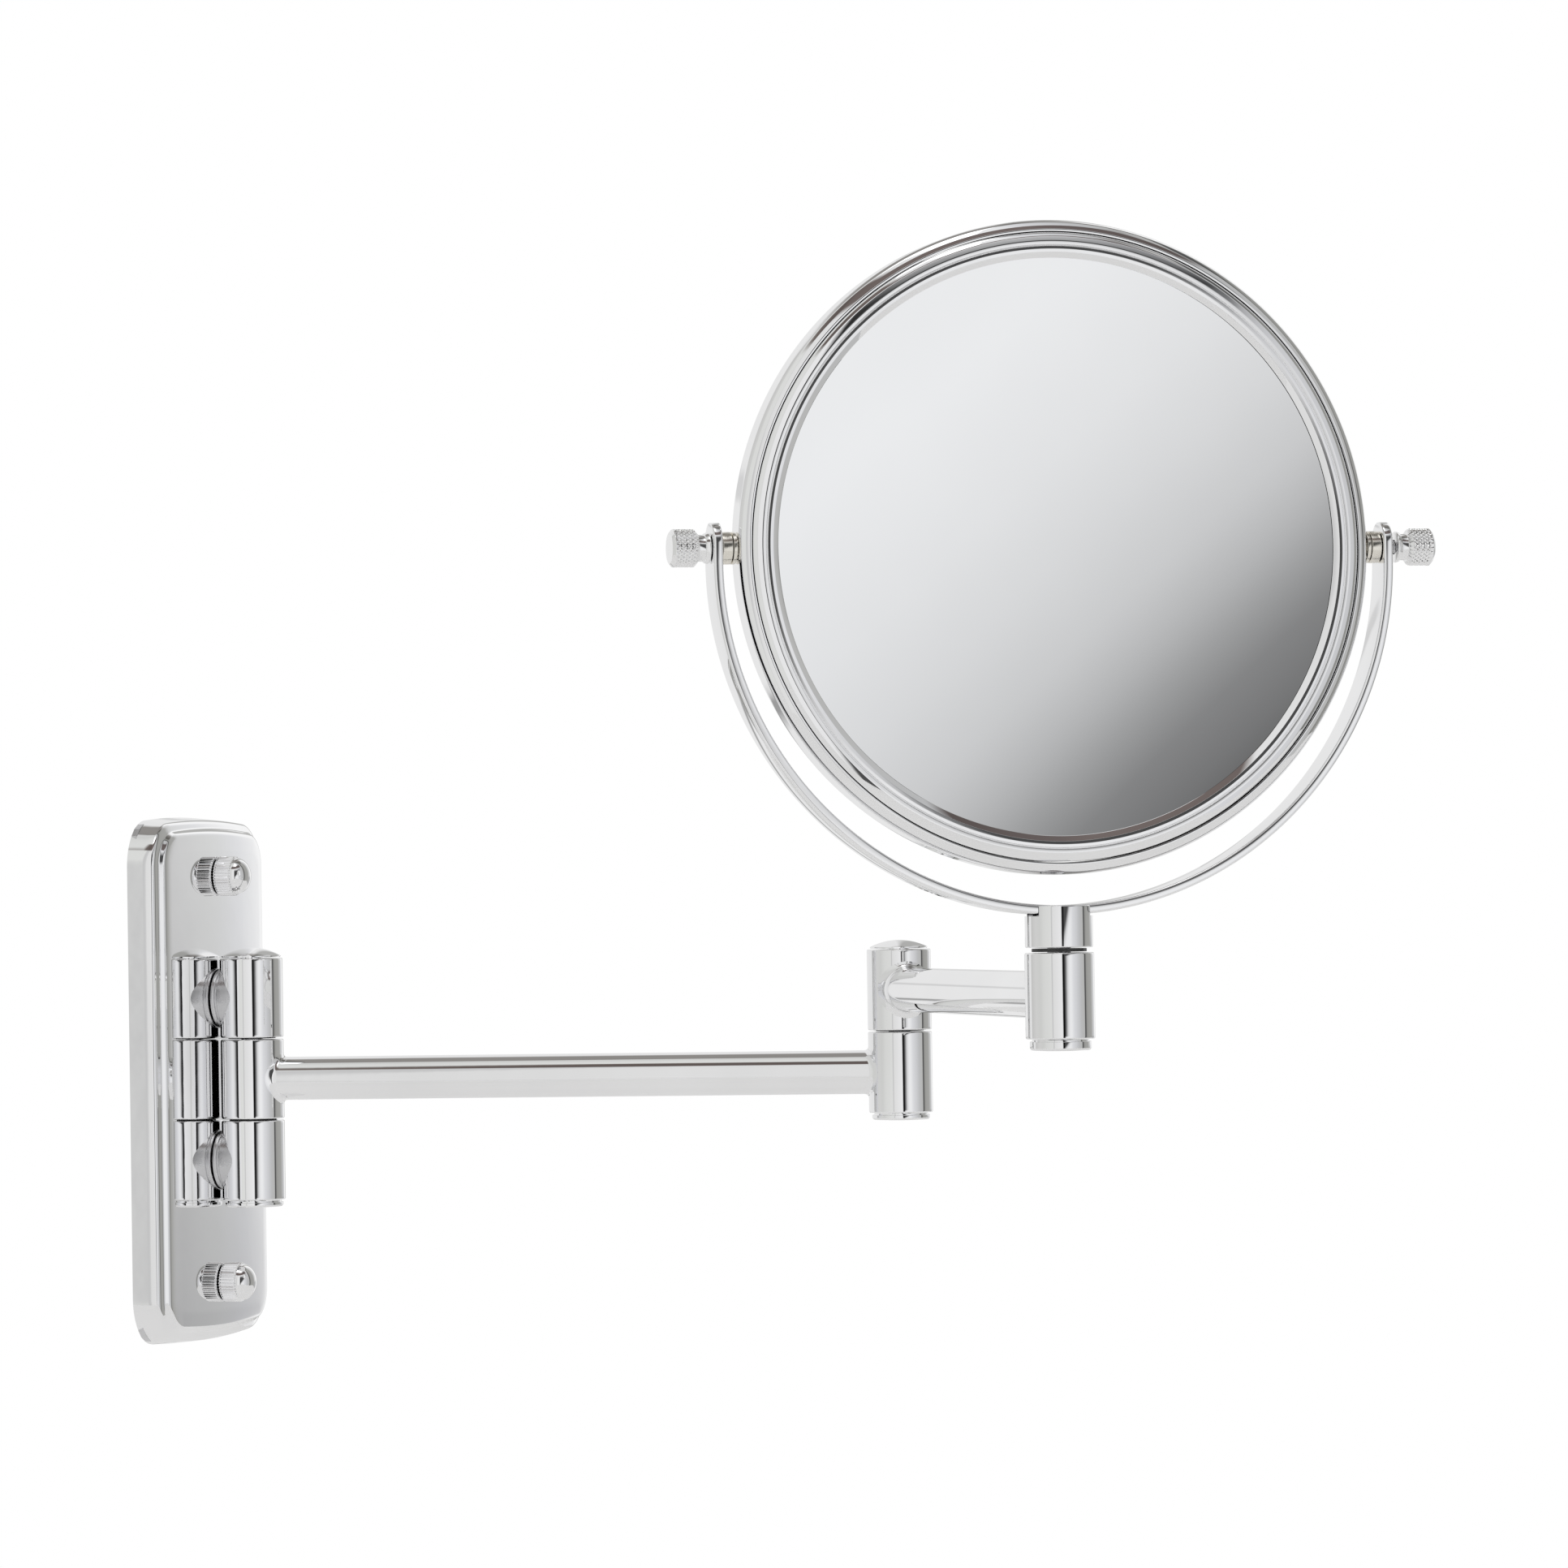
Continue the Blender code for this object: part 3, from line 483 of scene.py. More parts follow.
def make_knuckle(name, node, **recess):
    """A fixed knuckle, with the turned steel collar that stands it off the plate."""
    low, high = span(node, 2)
    knuckle = lathe(name, barrel_profile(low, high, BARREL_RADIUS, **recess), CHROME, COLUMN, closed=True)
    place = COLUMN @ Matrix.Translation((0, 0, (low + high) / 2)) @ OUT
    combined(knuckle, "DIFFERENCE", rod("thread", FIXING_HOLE, -20 * MM, -4.9 * MM, place, SMALL))
    stands_for(knuckle, "wall_mount", node)
    seat = (HINGE.y + PLATE_DEPTH + GAP) / MM
    corners = [(3.2, seat, 0), (10.4, seat, 0.3), (10.4, seat + 1.3, 0.4)]
    corners += [(9.7, seat + 1.5, 0.1), (9.7, seat + 2.0, 0.2), (10.1, seat + 2.3, 0.2)]
    corners += [(10.1, -3.2, 0), (3.2, -4.6, 0)]
    profile = [p * MM for p in rounded(corners, closed=True)]
    collar = lathe(f"{name}_collar", profile, STEEL, place, closed=True)
    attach(collar, "wall_mount")


def make_dome_cap(name, node, body, place):
    """A shallow domed cap with a turned step below its edge."""
    low, high = span(node, 2)
    radius = radius_about(node, place.translation, UP)
    seat = low + DOME_SEAT
    rise = high - seat - 0.5 * MM
    sphere = (radius**2 + rise**2) / (2 * rise)
    profile = [Vector((0, low)), Vector((SPIGOT_RADIUS, low)), Vector((SPIGOT_RADIUS, seat))]
    profile += [Vector((radius - 0.2 * MM, seat)), Vector((radius, seat + 0.2 * MM))]
    edge = math.asin(radius / sphere)
    dome_steps = 14
    for i in range(dome_steps + 1):
        angle = edge * (1 - i / dome_steps)
        profile.append(Vector((sphere * math.sin(angle), high - sphere + sphere * math.cos(angle))))
    profile[-1].x = 0
    return stands_for(lathe(name, profile, CHROME, place), body, node)


def make_foot_cap(name, node, body, place, seat_depth, spigot=True):
    """A turned cap under a barrel: a groove, a band and a slightly crowned foot."""
    low, high = span(node, 2)
    radius = radius_about(node, place.translation, UP)
    seat = low + seat_depth
    groove, depth = 0.5 * MM, 0.7 * MM
    corners = [(0, low, 0), (radius * 0.6, low + 0.12 * MM, 0.5 * MM)]
    corners += [(radius - 0.5 * MM, low + 0.3 * MM, 0.5 * MM), (radius, low + 0.9 * MM, 0.3 * MM)]
    corners += [(radius, seat - groove, 0.15 * MM), (radius - depth, seat - groove, 0)]
    corners += [(radius - depth, seat, 0)]
    if spigot:
        corners += [(SPIGOT_RADIUS, seat, 0), (SPIGOT_RADIUS, high, 0), (0, high, 0)]
    else:
        well = seat - 2.0 * MM
        corners += [(BORE_RADIUS, seat, 0), (BORE_RADIUS, well, 0), (0, well, 0)]
    return stands_for(lathe(name, rounded(corners), CHROME, place), body, node)


# ---------------------------------------------------------------- arm tubes


TUBE_WALL = 1.1 * MM


def flare(distance, fillet):
    """How much a tube widens at a distance from its barrel's side."""
    if distance >= fillet:
        return 0.0
    return fillet - math.sqrt(fillet**2 - (fillet - distance) ** 2)


def make_tube(name, node, body, place, length, height, fillets):
    """A tube whose ends flare into the round sides of its two barrels."""
    stations = [k / 10 for k in range(11)] + [1.6]
    bm = bmesh.new()
    near_fillet, far_fillet = fillets

    def side(angle, distance, fillet, from_far):
        radius = TUBE_RADIUS + flare(distance, fillet)
        x = radius * math.cos(angle)
        foot = math.sqrt(max((BARREL_RADIUS - EMBED) ** 2 - x**2, 0))
        along = foot + distance
        y = -(length - along) if from_far else -along
        return (x, y, height + radius * math.sin(angle))

    rings = [(fraction * near_fillet, near_fillet, False) for fraction in stations]
    rings += [(fraction * far_fillet, far_fillet, True) for fraction in reversed(stations)]
    loops = []
    for distance, fillet, from_far in rings:
        loop = []
        for i in range(ROUND):
            angle = math.tau * i / ROUND
            loop.append(bm.verts.new(side(angle, distance, fillet, from_far)))
        loops.append(loop)
    inner = TUBE_RADIUS - TUBE_WALL
    for from_far in (True, False):
        loop = []
        for i in range(ROUND):
            angle = math.tau * i / ROUND
            x = inner * math.cos(angle)
            foot = math.sqrt((BARREL_RADIUS - EMBED) ** 2 - x**2)
            y = -(length - foot) if from_far else -foot
            loop.append(bm.verts.new((x, y, height + inner * math.sin(angle))))
        loops.append(loop)
    skin(bm, loops, joined=True)
    tube = finish_mesh(name, bm, CHROME, place, 40)
    return stands_for(tube, body, node)


# ---------------------------------------------------------------- yoke

STRAP_HALF_WIDTH = 6.25 * MM
STRAP_THICKNESS = 3.0 * MM
STRAP_EDGE = 0.8 * MM
STRAP_BENDS = 128  # steps round the strap's half circle
STRAP_END_STEPS = 16  # steps along each rounded end
SOCKET_TOP = span("yoke_socket", 2)[1]
STRAP_INNER = 106.6 * MM  # the half circle's inside radius
PIVOT_BORE = 2.3 * MM
STRAP_CENTRE = SOCKET_TOP + STRAP_INNER


def strap_loop(bm, across, down, height, half_width):
    """One rounded section of the strap, on the ray (across, down) from a height on the yoke's axis."""
    edge = min(STRAP_EDGE, half_width * 0.9)
    corners = []
    for reach_out, side in ((0, -1), (0, 1), (1, 1), (1, -1)):
        corners.append((side * half_width, STRAP_INNER + reach_out * STRAP_THICKNESS, edge))
    loop = []
    for point in rounded(corners, closed=True, segments=4):
        loop.append(bm.verts.new((across * point.y, point.x, height + down * point.y)))
    return loop


def make_strap():
    """The flat strap bent to a half circle, with straight rounded ends and its three holes."""
    high = span("yoke_strap", 2)[1]
    bm = bmesh.new()
    stations = []
    for k in range(1, STRAP_END_STEPS + 1):
        angle = math.pi / 2 * k / STRAP_END_STEPS
        stations.append((high - STRAP_HALF_WIDTH * (1 - math.cos(angle)), STRAP_HALF_WIDTH * math.sin(angle)))
    loops = [strap_loop(bm, -1, 0, height, half) for height, half in stations]
    for k in range(STRAP_BENDS + 1):
        angle = math.pi * k / STRAP_BENDS
        loops.append(strap_loop(bm, -math.cos(angle), -math.sin(angle), STRAP_CENTRE, STRAP_HALF_WIDTH))
    loops += [strap_loop(bm, 1, 0, height, half) for height, half in reversed(stations)]
    skin(bm, loops)
    bm.faces.new(loops[0])
    bm.faces.new(loops[-1])
    strap = finish_mesh("yoke_hoop", bm, CHROME, YOKE, 40)
    pivot = Matrix.Translation((0, 0, PIVOT.z))
    holes = rod("holes", PIVOT_BORE, -125 * MM, 125 * MM, YOKE @ pivot @ TO_RIGHT, SMALL)
    combined(strap, "DIFFERENCE", holes)
    sink = [(0, 1.0), (4.6, 1.0), (4.6, -0.3), (2.5, -2.0), (2.5, -6.0), (0, -6.0)]
    profile = [(r * MM, SOCKET_TOP + z * MM) for r, z in sink]
    combined(strap, "DIFFERENCE", lathe("sink", profile, CHROME, YOKE, SMALL))
    return stands_for(strap, "yoke", "yoke_strap")


def make_socket():
    """The yoke's foot: a slot for the strap above, a bore for the swivel pin below."""
    low, high = span("yoke_socket", 2)
    bore_end = low + 4.65 * MM
    radius = radius_about("yoke_socket", YOKE.translation, UP)
    corners = [(0, bore_end, 0), (BORE_RADIUS, bore_end, 0), (BORE_RADIUS, low, 0)]
    corners += [(radius, low, EASED_EDGE), (radius, high, 0.5 * MM), (0, high, 0)]
    socket = lathe("yoke_foot", rounded(corners), CHROME, YOKE)
    floor = high - STRAP_THICKNESS - GAP
    bm = bmesh.new()
    size = Matrix.Diagonal((60 * MM, 2 * (STRAP_HALF_WIDTH + GAP), 8 * MM, 1))
    bmesh.ops.create_cube(bm, size=1, matrix=Matrix.Translation((0, 0, floor + 4 * MM)) @ size)
    combined(socket, "DIFFERENCE", finish_mesh("slot", bm, CHROME, YOKE))
    combined(socket, "DIFFERENCE", rod("thread", 2.5 * MM, high - 7.15 * MM, high, YOKE, SMALL))
    return stands_for(socket, "yoke", "yoke_socket")


def make_strap_screw():
    """A countersunk screw with a hexagon recess, seen inside the strap's lowest point."""
    low, high = span("strap_screw", 2)
    head, shank = 4.2 * MM, 2.2 * MM
    profile = [(0, low), (shank, low), (shank, high - 1.9 * MM), (head, high - 0.1 * MM)]
    profile += [(head - 0.2 * MM, high), (0, high)]
    screw = lathe("hoop_screw", profile, STEEL, YOKE, SMALL)
    key, key_end, above = 1.45 * MM, high - 1.3 * MM, high + 1 * MM
    hexagon = [(0, key_end), (key, key_end), (key, above), (0, above)]
    combined(screw, "DIFFERENCE", lathe("hexagon", hexagon, STEEL, YOKE, 6))
    return stands_for(screw, "yoke", "strap_screw")


# ---------------------------------------------------------------- mirror head


RIM_INNER = 97.75 * MM
GLASS_CURVE = 1234.0 * MM  # radius of the concave face
GLASS_THICKNESS = 2.6 * MM
GLASS_RINGS = 40


def mirrored(profile):
    """The same profile on the head's other face."""
    return [Vector((p.x, -p.y)) for p in reversed(profile)]


def make_rim():
    """The outer ring: a gently crowned land on each face and a rounded outer corner."""
    crest = reach("rim_ring", PIVOT, FRONT)[1] - 0.05 * MM
    corners = [
        (RIM_INNER, crest - 0.9 * MM, 0),
        (RIM_INNER + 0.05 * MM, crest - 0.05 * MM, 0.12 * MM),
        (RIM_INNER + 0.7 * MM, crest, 0.8 * MM),
        (RIM_INNER + 1.9 * MM, crest - 0.62 * MM, 2.0 * MM),
        (HEAD_RADIUS - 0.75 * MM, crest - 1.35 * MM, 1.2 * MM),
        (HEAD_RADIUS, crest - 2.7 * MM, 1.6 * MM),
        (HEAD_RADIUS, crest - 4.4 * MM, 0),
    ]
    front = rounded(corners, segments=5)
    rim = lathe("head_ring", front + mirrored(front), CHROME, HEAD @ OUT, FINE, closed=True)
    hole = rod("hole", 3.7 * MM, -115 * MM, 115 * MM, HEAD @ TO_RIGHT, SMALL)
    combined(rim, "DIFFERENCE", hole)
    return stands_for(rim, "mirror_head", "rim_ring")


def bezel_corners(top, bottom):
    """Front bezel from its outer foot, over the broad shoulder, groove and inner ring to the glass.

    The corners are (radius, height, rounding) in mm.
    """
    return [
        (97.45, bottom, 0),
        (97.45, top - 1.35, 0.1),
        (97.0, top - 0.95, 0.35),
        (96.2, top - 0.42, 1.4),
        (94.7, top - 0.02, 1.6),
        (93.6, top - 0.05, 0.25),
        (93.45, top - 0.45, 0),
        (93.3, top - 0.45, 0),
        (93.15, top - 0.08, 0.25),
        (92.2, top, 1.2),
        (91.25, top - 0.12, 0.35),
        (89.6, top - 1.05, 0.12),
        (89.5, top - 1.12, 0),
        (91.95, top - 1.12, 0),
        (91.95, bottom, 0),
    ]


def make_bezels():
    """The turned trim round each glass, alike on both faces."""
    low, high = (value / MM for value in reach("front_bezel", PIVOT, FRONT))
    front = [p * MM for p in rounded(bezel_corners(high, low), closed=True, segments=6)]
    place = HEAD @ OUT
    stands_for(lathe("front_trim", front, CHROME, place, FINE, closed=True), "mirror_head", "front_bezel")
    rear = lathe("rear_trim", mirrored(front), CHROME, place, FINE, closed=True)
    stands_for(rear, "mirror_head", "rear_bezel")


def make_glasses():
    """The concave magnifying glass in front and the plain glass behind, each with a ground edge."""
    high = reach("magnifying_glass", PIVOT, FRONT)[1]
    radius = radius_about("magnifying_glass", PIVOT, FRONT)
    rise = radius**2 / (2 * GLASS_CURVE)
    front = []
    for i in range(GLASS_RINGS + 1):
        r = radius * i / GLASS_RINGS
        front.append(Vector((r, high - rise + r**2 / (2 * GLASS_CURVE))))
    back = [Vector((p.x, p.y - GLASS_THICKNESS)) for p in reversed(front)]
    place = HEAD @ OUT
    glass = lathe("concave_glass", front + back, GLASS, place, FINE)
    stands_for(glass, "mirror_head", "magnifying_glass")
    low, high = reach("plain_glass", PIVOT, FRONT)
    corners = [(0, low, 0), (radius, low, 0.3 * MM), (radius, high, 0.3 * MM), (0, high, 0)]
    plain = lathe("flat_glass", rounded(corners), GLASS, place, FINE)
    stands_for(plain, "mirror_head", "plain_glass")


def make_pivot_side(name, turn, direction):
    """A flanged insert and a bush between the ring and the strap, both in warm nickel."""
    place = HEAD @ turn
    bore, radius, sleeve = PIVOT_BORE, 5.0 * MM, 3.4 * MM
    low, high = reach(f"{name}_pivot_insert", PIVOT, direction)
    flange = high - 1.1 * MM
    corners = [(bore, low, 0), (sleeve, low, 0), (sleeve, flange, 0), (radius, flange, 0.15 * MM)]
    corners += [(radius, high, 0.15 * MM), (bore, high, 0)]
    profile = rounded(corners, closed=True)
    insert = lathe(f"{name}_flanged_insert", profile, NICKEL, place, SMALL, closed=True)
    stands_for(insert, "mirror_head", f"{name}_pivot_insert")
    low, high = reach(f"{name}_spacer", PIVOT, direction)
    corners = [(bore, low, 0), (radius, low, 0.2 * MM), (radius, high, 0.2 * MM), (bore, high, 0)]
    bush = lathe(f"{name}_bush", rounded(corners, closed=True), NICKEL, place, SMALL, closed=True)
    stands_for(bush, "mirror_head", f"{name}_spacer")


# ---------------------------------------------------------------- clamp knobs

KNURLS = 26  # grooves each way round
KNURL_ROWS = 44
KNURL_DEPTH = 0.42 * MM
KNURL_PITCH = 1.7 * MM
THREAD_PITCH = 0.8 * MM
THREAD_DEPTH = 0.36 * MM


def groove(turns):
    """Depth of a V groove that repeats once a turn, from 0 on the land to 1 at the bottom."""
    return max(0.0, 1 - 2.6 * abs(turns % 1.0 - 0.5))


def make_knob(name, turn, direction):
    """A knob with a diamond-knurled head, a plain neck and a conical flange against the strap."""
    node = f"{name}_knob"
    seat, end = reach(node, PIVOT, direction)
    radius = radius_about(node, PIVOT, direction)
    flange, neck = seat + 1.5 * MM, seat + 3.7 * MM
    knurl_low, knurl_high = neck + 1.1 * MM, end - 1.7 * MM
    screw, well = PIVOT_BORE, seat + 8.0 * MM
    corners = [
        (0, well, 0),
        (screw, well, 0),
        (screw, seat, 0),
        (4.6 * MM, seat, 0.1 * MM),
        (4.9 * MM, seat + 0.4 * MM, 0.2 * MM),
        (4.5 * MM, flange, 0.15 * MM),
        (4.1 * MM, flange + 0.1 * MM, 0.1 * MM),
        (4.1 * MM, neck, 0.1 * MM),
        (4.5 * MM, neck, 0.1 * MM),
        (radius, knurl_low, 0),
    ]
    profile = rounded(corners, segments=3)
    for k in range(1, KNURL_ROWS):
        profile.append(Vector((radius, knurl_low + (knurl_high - knurl_low) * k / KNURL_ROWS)))
    rim = [(radius, knurl_high, 0), (radius, end - 0.9 * MM, 0.3 * MM), (radius - 1.1 * MM, end, 0.5 * MM)]
    profile += rounded(rim + [(0, end - 0.05 * MM, 0)], segments=5)

    def shape(r, height, angle):
        if not knurl_low - 1.0 * MM < height < knurl_high + 0.01 * MM or r < 4.6 * MM:
            return r
        turns = KNURLS * angle / math.tau
        slant = height / KNURL_PITCH
        return r - KNURL_DEPTH * max(groove(turns + slant), groove(turns - slant))

    place = HEAD @ turn
    knob = lathe(f"{name}_knurled_knob", profile, KNURL, place, KNURLS * 12, shape=shape)
    stands_for(knob, f"{name}_knob", node)
    make_clamp_screw(name, place, direction)


def make_clamp_screw(name, place, direction):
    """The knob's threaded shank."""
    node = f"{name}_knob_screw"
    low, high = reach(node, PIVOT, direction)
    radius = radius_about(node, PIVOT, direction)
    rows = int((high - low) / (THREAD_PITCH / 10))
    profile = [Vector((0, low)), Vector((radius - THREAD_DEPTH, low))]
    for k in range(1, rows):
        profile.append(Vector((radius, low + (high - low) * k / rows)))
    profile += [Vector((radius - THREAD_DEPTH, high)), Vector((0, high))]

    def shape(r, height, angle):
        if r < radius:
            return r
        along = (height / THREAD_PITCH - angle / math.tau) % 1.0
        return radius - THREAD_DEPTH * min(1.0, max(0.0, 1.25 - 2.5 * abs(along - 0.5)))

    screw = lathe(f"{name}_threaded_screw", profile, STEEL, place, SMALL, shape=shape)
    stands_for(screw, f"{name}_screw", node)


# ---------------------------------------------------------------- the object


def make_wall_mount():
    make_wall_plate()
    make_cap_nut("upper")
    make_cap_nut("lower")
    make_knuckle("upper_column_knuckle", "upper_knuckle", recess_low=True)
    make_knuckle("lower_column_knuckle", "lower_knuckle", recess_high=True)
    make_dome_cap("column_dome", "hinge_top_cap", "wall_mount", COLUMN)
    make_foot_cap("column_foot", "hinge_bottom_cap", "wall_mount", COLUMN, FOOT_SEAT)


FOOT_SEAT = 2.4 * MM


def make_arms():
    tube_height = sum(span("first_arm_tube", 2)) / 2
    make_barrel("middle_column_knuckle", "middle_knuckle", "first_arm", COLUMN)
    make_tube("lower_tube", "first_arm_tube", "first_arm", ARM_ONE, ARM_ONE_LENGTH, tube_height,
              (1.6 * MM, 1.6 * MM))
    make_barrel("elbow_lower_sleeve", "elbow_lower_barrel", "first_arm", ELBOW_OF_ONE)
    make_foot_cap("elbow_foot", "elbow_bottom_cap", "first_arm", ELBOW_OF_ONE, FOOT_SEAT)
    make_barrel("elbow_upper_sleeve", "elbow_upper_barrel", "second_arm", ARM_TWO, recess_low=True)
    make_dome_cap("elbow_dome", "elbow_top_cap", "second_arm", ARM_TWO)
    tube_height = sum(span("second_arm_tube", 2)) / 2
    make_tube("upper_tube", "second_arm_tube", "second_arm", ARM_TWO, ARM_TWO_LENGTH, tube_height,
              (2.4 * MM, 1.6 * MM))
    make_barrel("swivel_sleeve", "swivel_barrel", "second_arm", SWIVEL_OF_TWO)


def make_yoke():
    make_strap()
    make_socket()
    make_strap_screw()
    make_foot_cap("swivel_foot", "swivel_bottom_cap", "yoke", YOKE, 3.5 * MM, spigot=False)


def make_head():
    make_rim()
    make_bezels()
    make_glasses()
    for name, turn, direction in (("left", TO_LEFT, -RIGHT), ("right", TO_RIGHT, RIGHT)):
        make_pivot_side(name, turn, direction)
        make_knob(name, turn, direction)


def finish_cad_nodes():
    for node in ("backing_plate", "upper_fixing_stud", "lower_fixing_stud", "upper_knuckle_screw",
                 "lower_knuckle_screw", "hinge_pin", "elbow_pin", "swivel_pin"):
        carry_over(node, STEEL)
    for node in ("upper_hinge_washer", "lower_hinge_washer", "elbow_washer", "swivel_washer"):
        carry_over(node, NYLON)
    carry_over("backing_pad", FELT)


# ---------------------------------------------------------------- studio

CAMERA_AIM = Vector((-0.0446, -0.2333, 0.0969))
CAMERA_DISTANCE = 2.10
CAMERA_AZIMUTH = math.radians(-72.19)
CAMERA_ELEVATION = math.radians(-1.008)
CAMERA_ROLL = math.radians(-0.889)
CAMERA_LENS = 146.8
FLOOR_HEIGHT = -0.55
FLOOR_GLOW = 0.26
SOFTBOX_PLACE = CAMERA_AIM + Vector((-0.42, -0.135, 1.54))
SOFTBOX_SIZE = 0.55
SOFTBOX_WATTS = 0.9


def camera_back():
    """Unit vector from the object towards the camera."""
    level = math.cos(CAMERA_ELEVATION)
    x = math.sin(CAMERA_AZIMUTH) * level
    y = -math.cos(CAMERA_AZIMUTH) * level
    return Vector((x, y, math.sin(CAMERA_ELEVATION)))


def make_camera():
    data = bpy.data.cameras.new("camera")
    data.lens = CAMERA_LENS
    data.sensor_width = 36.0
    camera = bpy.data.objects.new("camera", data)
    bpy.context.scene.collection.objects.link(camera)
    back = camera_back()
    turn = (-back).to_track_quat("-Z", "Y").to_matrix().to_4x4()
    roll = Matrix.Rotation(CAMERA_ROLL, 4, "Z")
    camera.matrix_world = Matrix.Translation(CAMERA_AIM + back * CAMERA_DISTANCE) @ turn @ roll
    bpy.context.scene.camera = camera


def math_node(tree, operation, *values):
    """One arithmetic step; each value is a number or a socket."""
    node = tree.nodes.new("ShaderNodeMath")
    node.operation = operation
    for socket, value in zip(node.inputs, values):
        if isinstance(value, (int, float)):
            socket.default_value = value
        else:
            tree.links.new(value, socket)
    return node.outputs[0]


def studio_ramp(tree, value, low, high, stops):
    """Colours against an angle in degrees, between low and high."""
    scaled = tree.nodes.new("ShaderNodeMapRange")
    scaled.inputs["From Min"].default_value = low
    scaled.inputs["From Max"].default_value = high
    tree.links.new(value, scaled.inputs["Value"])
    ramp = tree.nodes.new("ShaderNodeValToRGB")
    elements = ramp.color_ramp.elements
    while len(elements) > 1:
        elements.remove(elements[-1])
    for i, (angle, colour) in enumerate(stops):
        position = (angle - low) / (high - low)
        element = elements[0] if i == 0 else elements.new(position)
        element.position = position
        element.color = (*colour, 1) if isinstance(colour, tuple) else (colour, colour, colour, 1)
    tree.links.new(scaled.outputs["Result"], ramp.inputs["Fac"])
    return ramp.outputs["Color"]


def multiply(tree, first, second):
    node = tree.nodes.new("ShaderNodeMix")
    node.data_type = "RGBA"
    node.blend_type = "MULTIPLY"
    node.inputs["Factor"].default_value = 1.0
    tree.links.new(first, node.inputs[6])
    tree.links.new(second, node.inputs[7])
    return node.outputs[2]


def shade(tree, colour, tone, amount):
    """Multiplies a colour by a tone, as far as the amount says."""
    node = tree.nodes.new("ShaderNodeMix")
    node.data_type = "RGBA"
    node.blend_type = "MULTIPLY"
    tree.links.new(amount, node.inputs["Factor"])
    tree.links.new(colour, node.inputs[6])
    if isinstance(tone, tuple):
        node.inputs[7].default_value = (*tone, 1)
    else:
        tree.links.new(tone, node.inputs[7])
    return node.outputs[2]


# room brightness against the angle to the right of the camera, seen from the object
WALLS = [
    (-180, 0.82),
    (-150, 0.84),
    (-112, 0.80),
    (-108, (0.54, 0.54, 0.53)),
    (-104, (0.60, 0.60, 0.59)),
    (-88, (0.66, 0.66, 0.65)),
    (-70, (0.64, 0.645, 0.63)),
    (-55, (0.71, 0.715, 0.70)),
    (-29, (0.75, 0.755, 0.74)),
    (-28, (0.58, 0.58, 0.58)),
    (-25.5, (0.60, 0.60, 0.60)),
    (-24.5, (0.76, 0.76, 0.755)),
    (6, (0.86, 0.86, 0.865)),
    (36, (0.87, 0.875, 0.885)),
    (46, (0.73, 0.735, 0.755)),
    (60, (0.63, 0.635, 0.65)),
    (72, (0.53, 0.535, 0.54)),
    (87, (0.49, 0.49, 0.48)),
    (88.5, (0.09, 0.09, 0.09)),
    (93, (0.09, 0.09, 0.09)),
    (96, (0.30, 0.30, 0.285)),
    (105, (0.36, 0.36, 0.345)),
    (124, (0.39, 0.39, 0.375)),
    (131, (0.62, 0.62, 0.62)),
    (138, (0.70, 0.705, 0.70)),
    (143, (0.77, 0.775, 0.79)),
    (149, 0.97),
    (163, 0.97),
    (167, (0.45, 0.45, 0.44)),
    (176, (0.45, 0.45, 0.44)),
    (180, 0.80),
]
# darker things in the room: colour, how much of it at each angle round, and at each angle up
FURNITURE = [
    ((0.09, 0.09, 0.09),
     [(-180, 0), (6.8, 0), (7.8, 1), (13.2, 1), (14.6, 0)],
     [(-50, 0), (-40, 1), (20, 1), (35, 0)]),
    ((0.20, 0.165, 0.155),
     [(-180, 0), (-38, 0), (-32, 1), (70, 1), (85, 0)],
     [(42, 0), (45, 1), (59, 1), (62, 0)]),
    ((0.34, 0.325, 0.31),
     [(-180, 1), (-110, 1), (-96, 0), (96, 0), (110, 1)],
     [(48, 0), (58, 1), (86, 1), (90, 0)]),
    ((0.40, 0.40, 0.39),
     [(-180, 1), (-110, 1), (-96, 0), (96, 0), (110, 1)],
     [(-50, 0), (-46, 1), (-36, 1), (-31, 0)]),
    ((0.66, 0.66, 0.665),
     [(-180, 0), (124, 0), (132, 1), (146, 1), (156, 0)],
     [(-20, 1), (-4.2, 1), (0.6, 0)]),
    ((0.42, 0.42, 0.42),
     [(-180, 1), (-146, 1), (-138, 0)],
     [(-12.4, 0), (-11.6, 1), (-10.4, 1), (-9.6, 0)]),
    ((0.80, 0.80, 0.80),
     [(-180, 1), (-146, 1), (-138, 0)],
     [(7, 0), (7.8, 1), (9.2, 1), (10, 0)]),
]
# a dark flag on the camera's right: brightness rises with (across - slope * up) beyond its straight soft edge
FLAG_SLOPE = 1.25
FLAG = [(-60, 0.07), (16.6, 0.08), (18.6, 0.21), (20.2, 0.28), (21.4, 0.40), (22.7, 0.56), (24.2, 0.70),
        (26.6, 0.82), (29, 0.91), (33, 1), (60, 1)]
FLAG_SIDES = [(-180, 0), (6.6, 0), (7.6, 1), (180, 1)]
FLAG_HEIGHTS = [(-90, 0), (-25, 0), (-12, 1), (28, 1), (42, 0), (90, 0)]


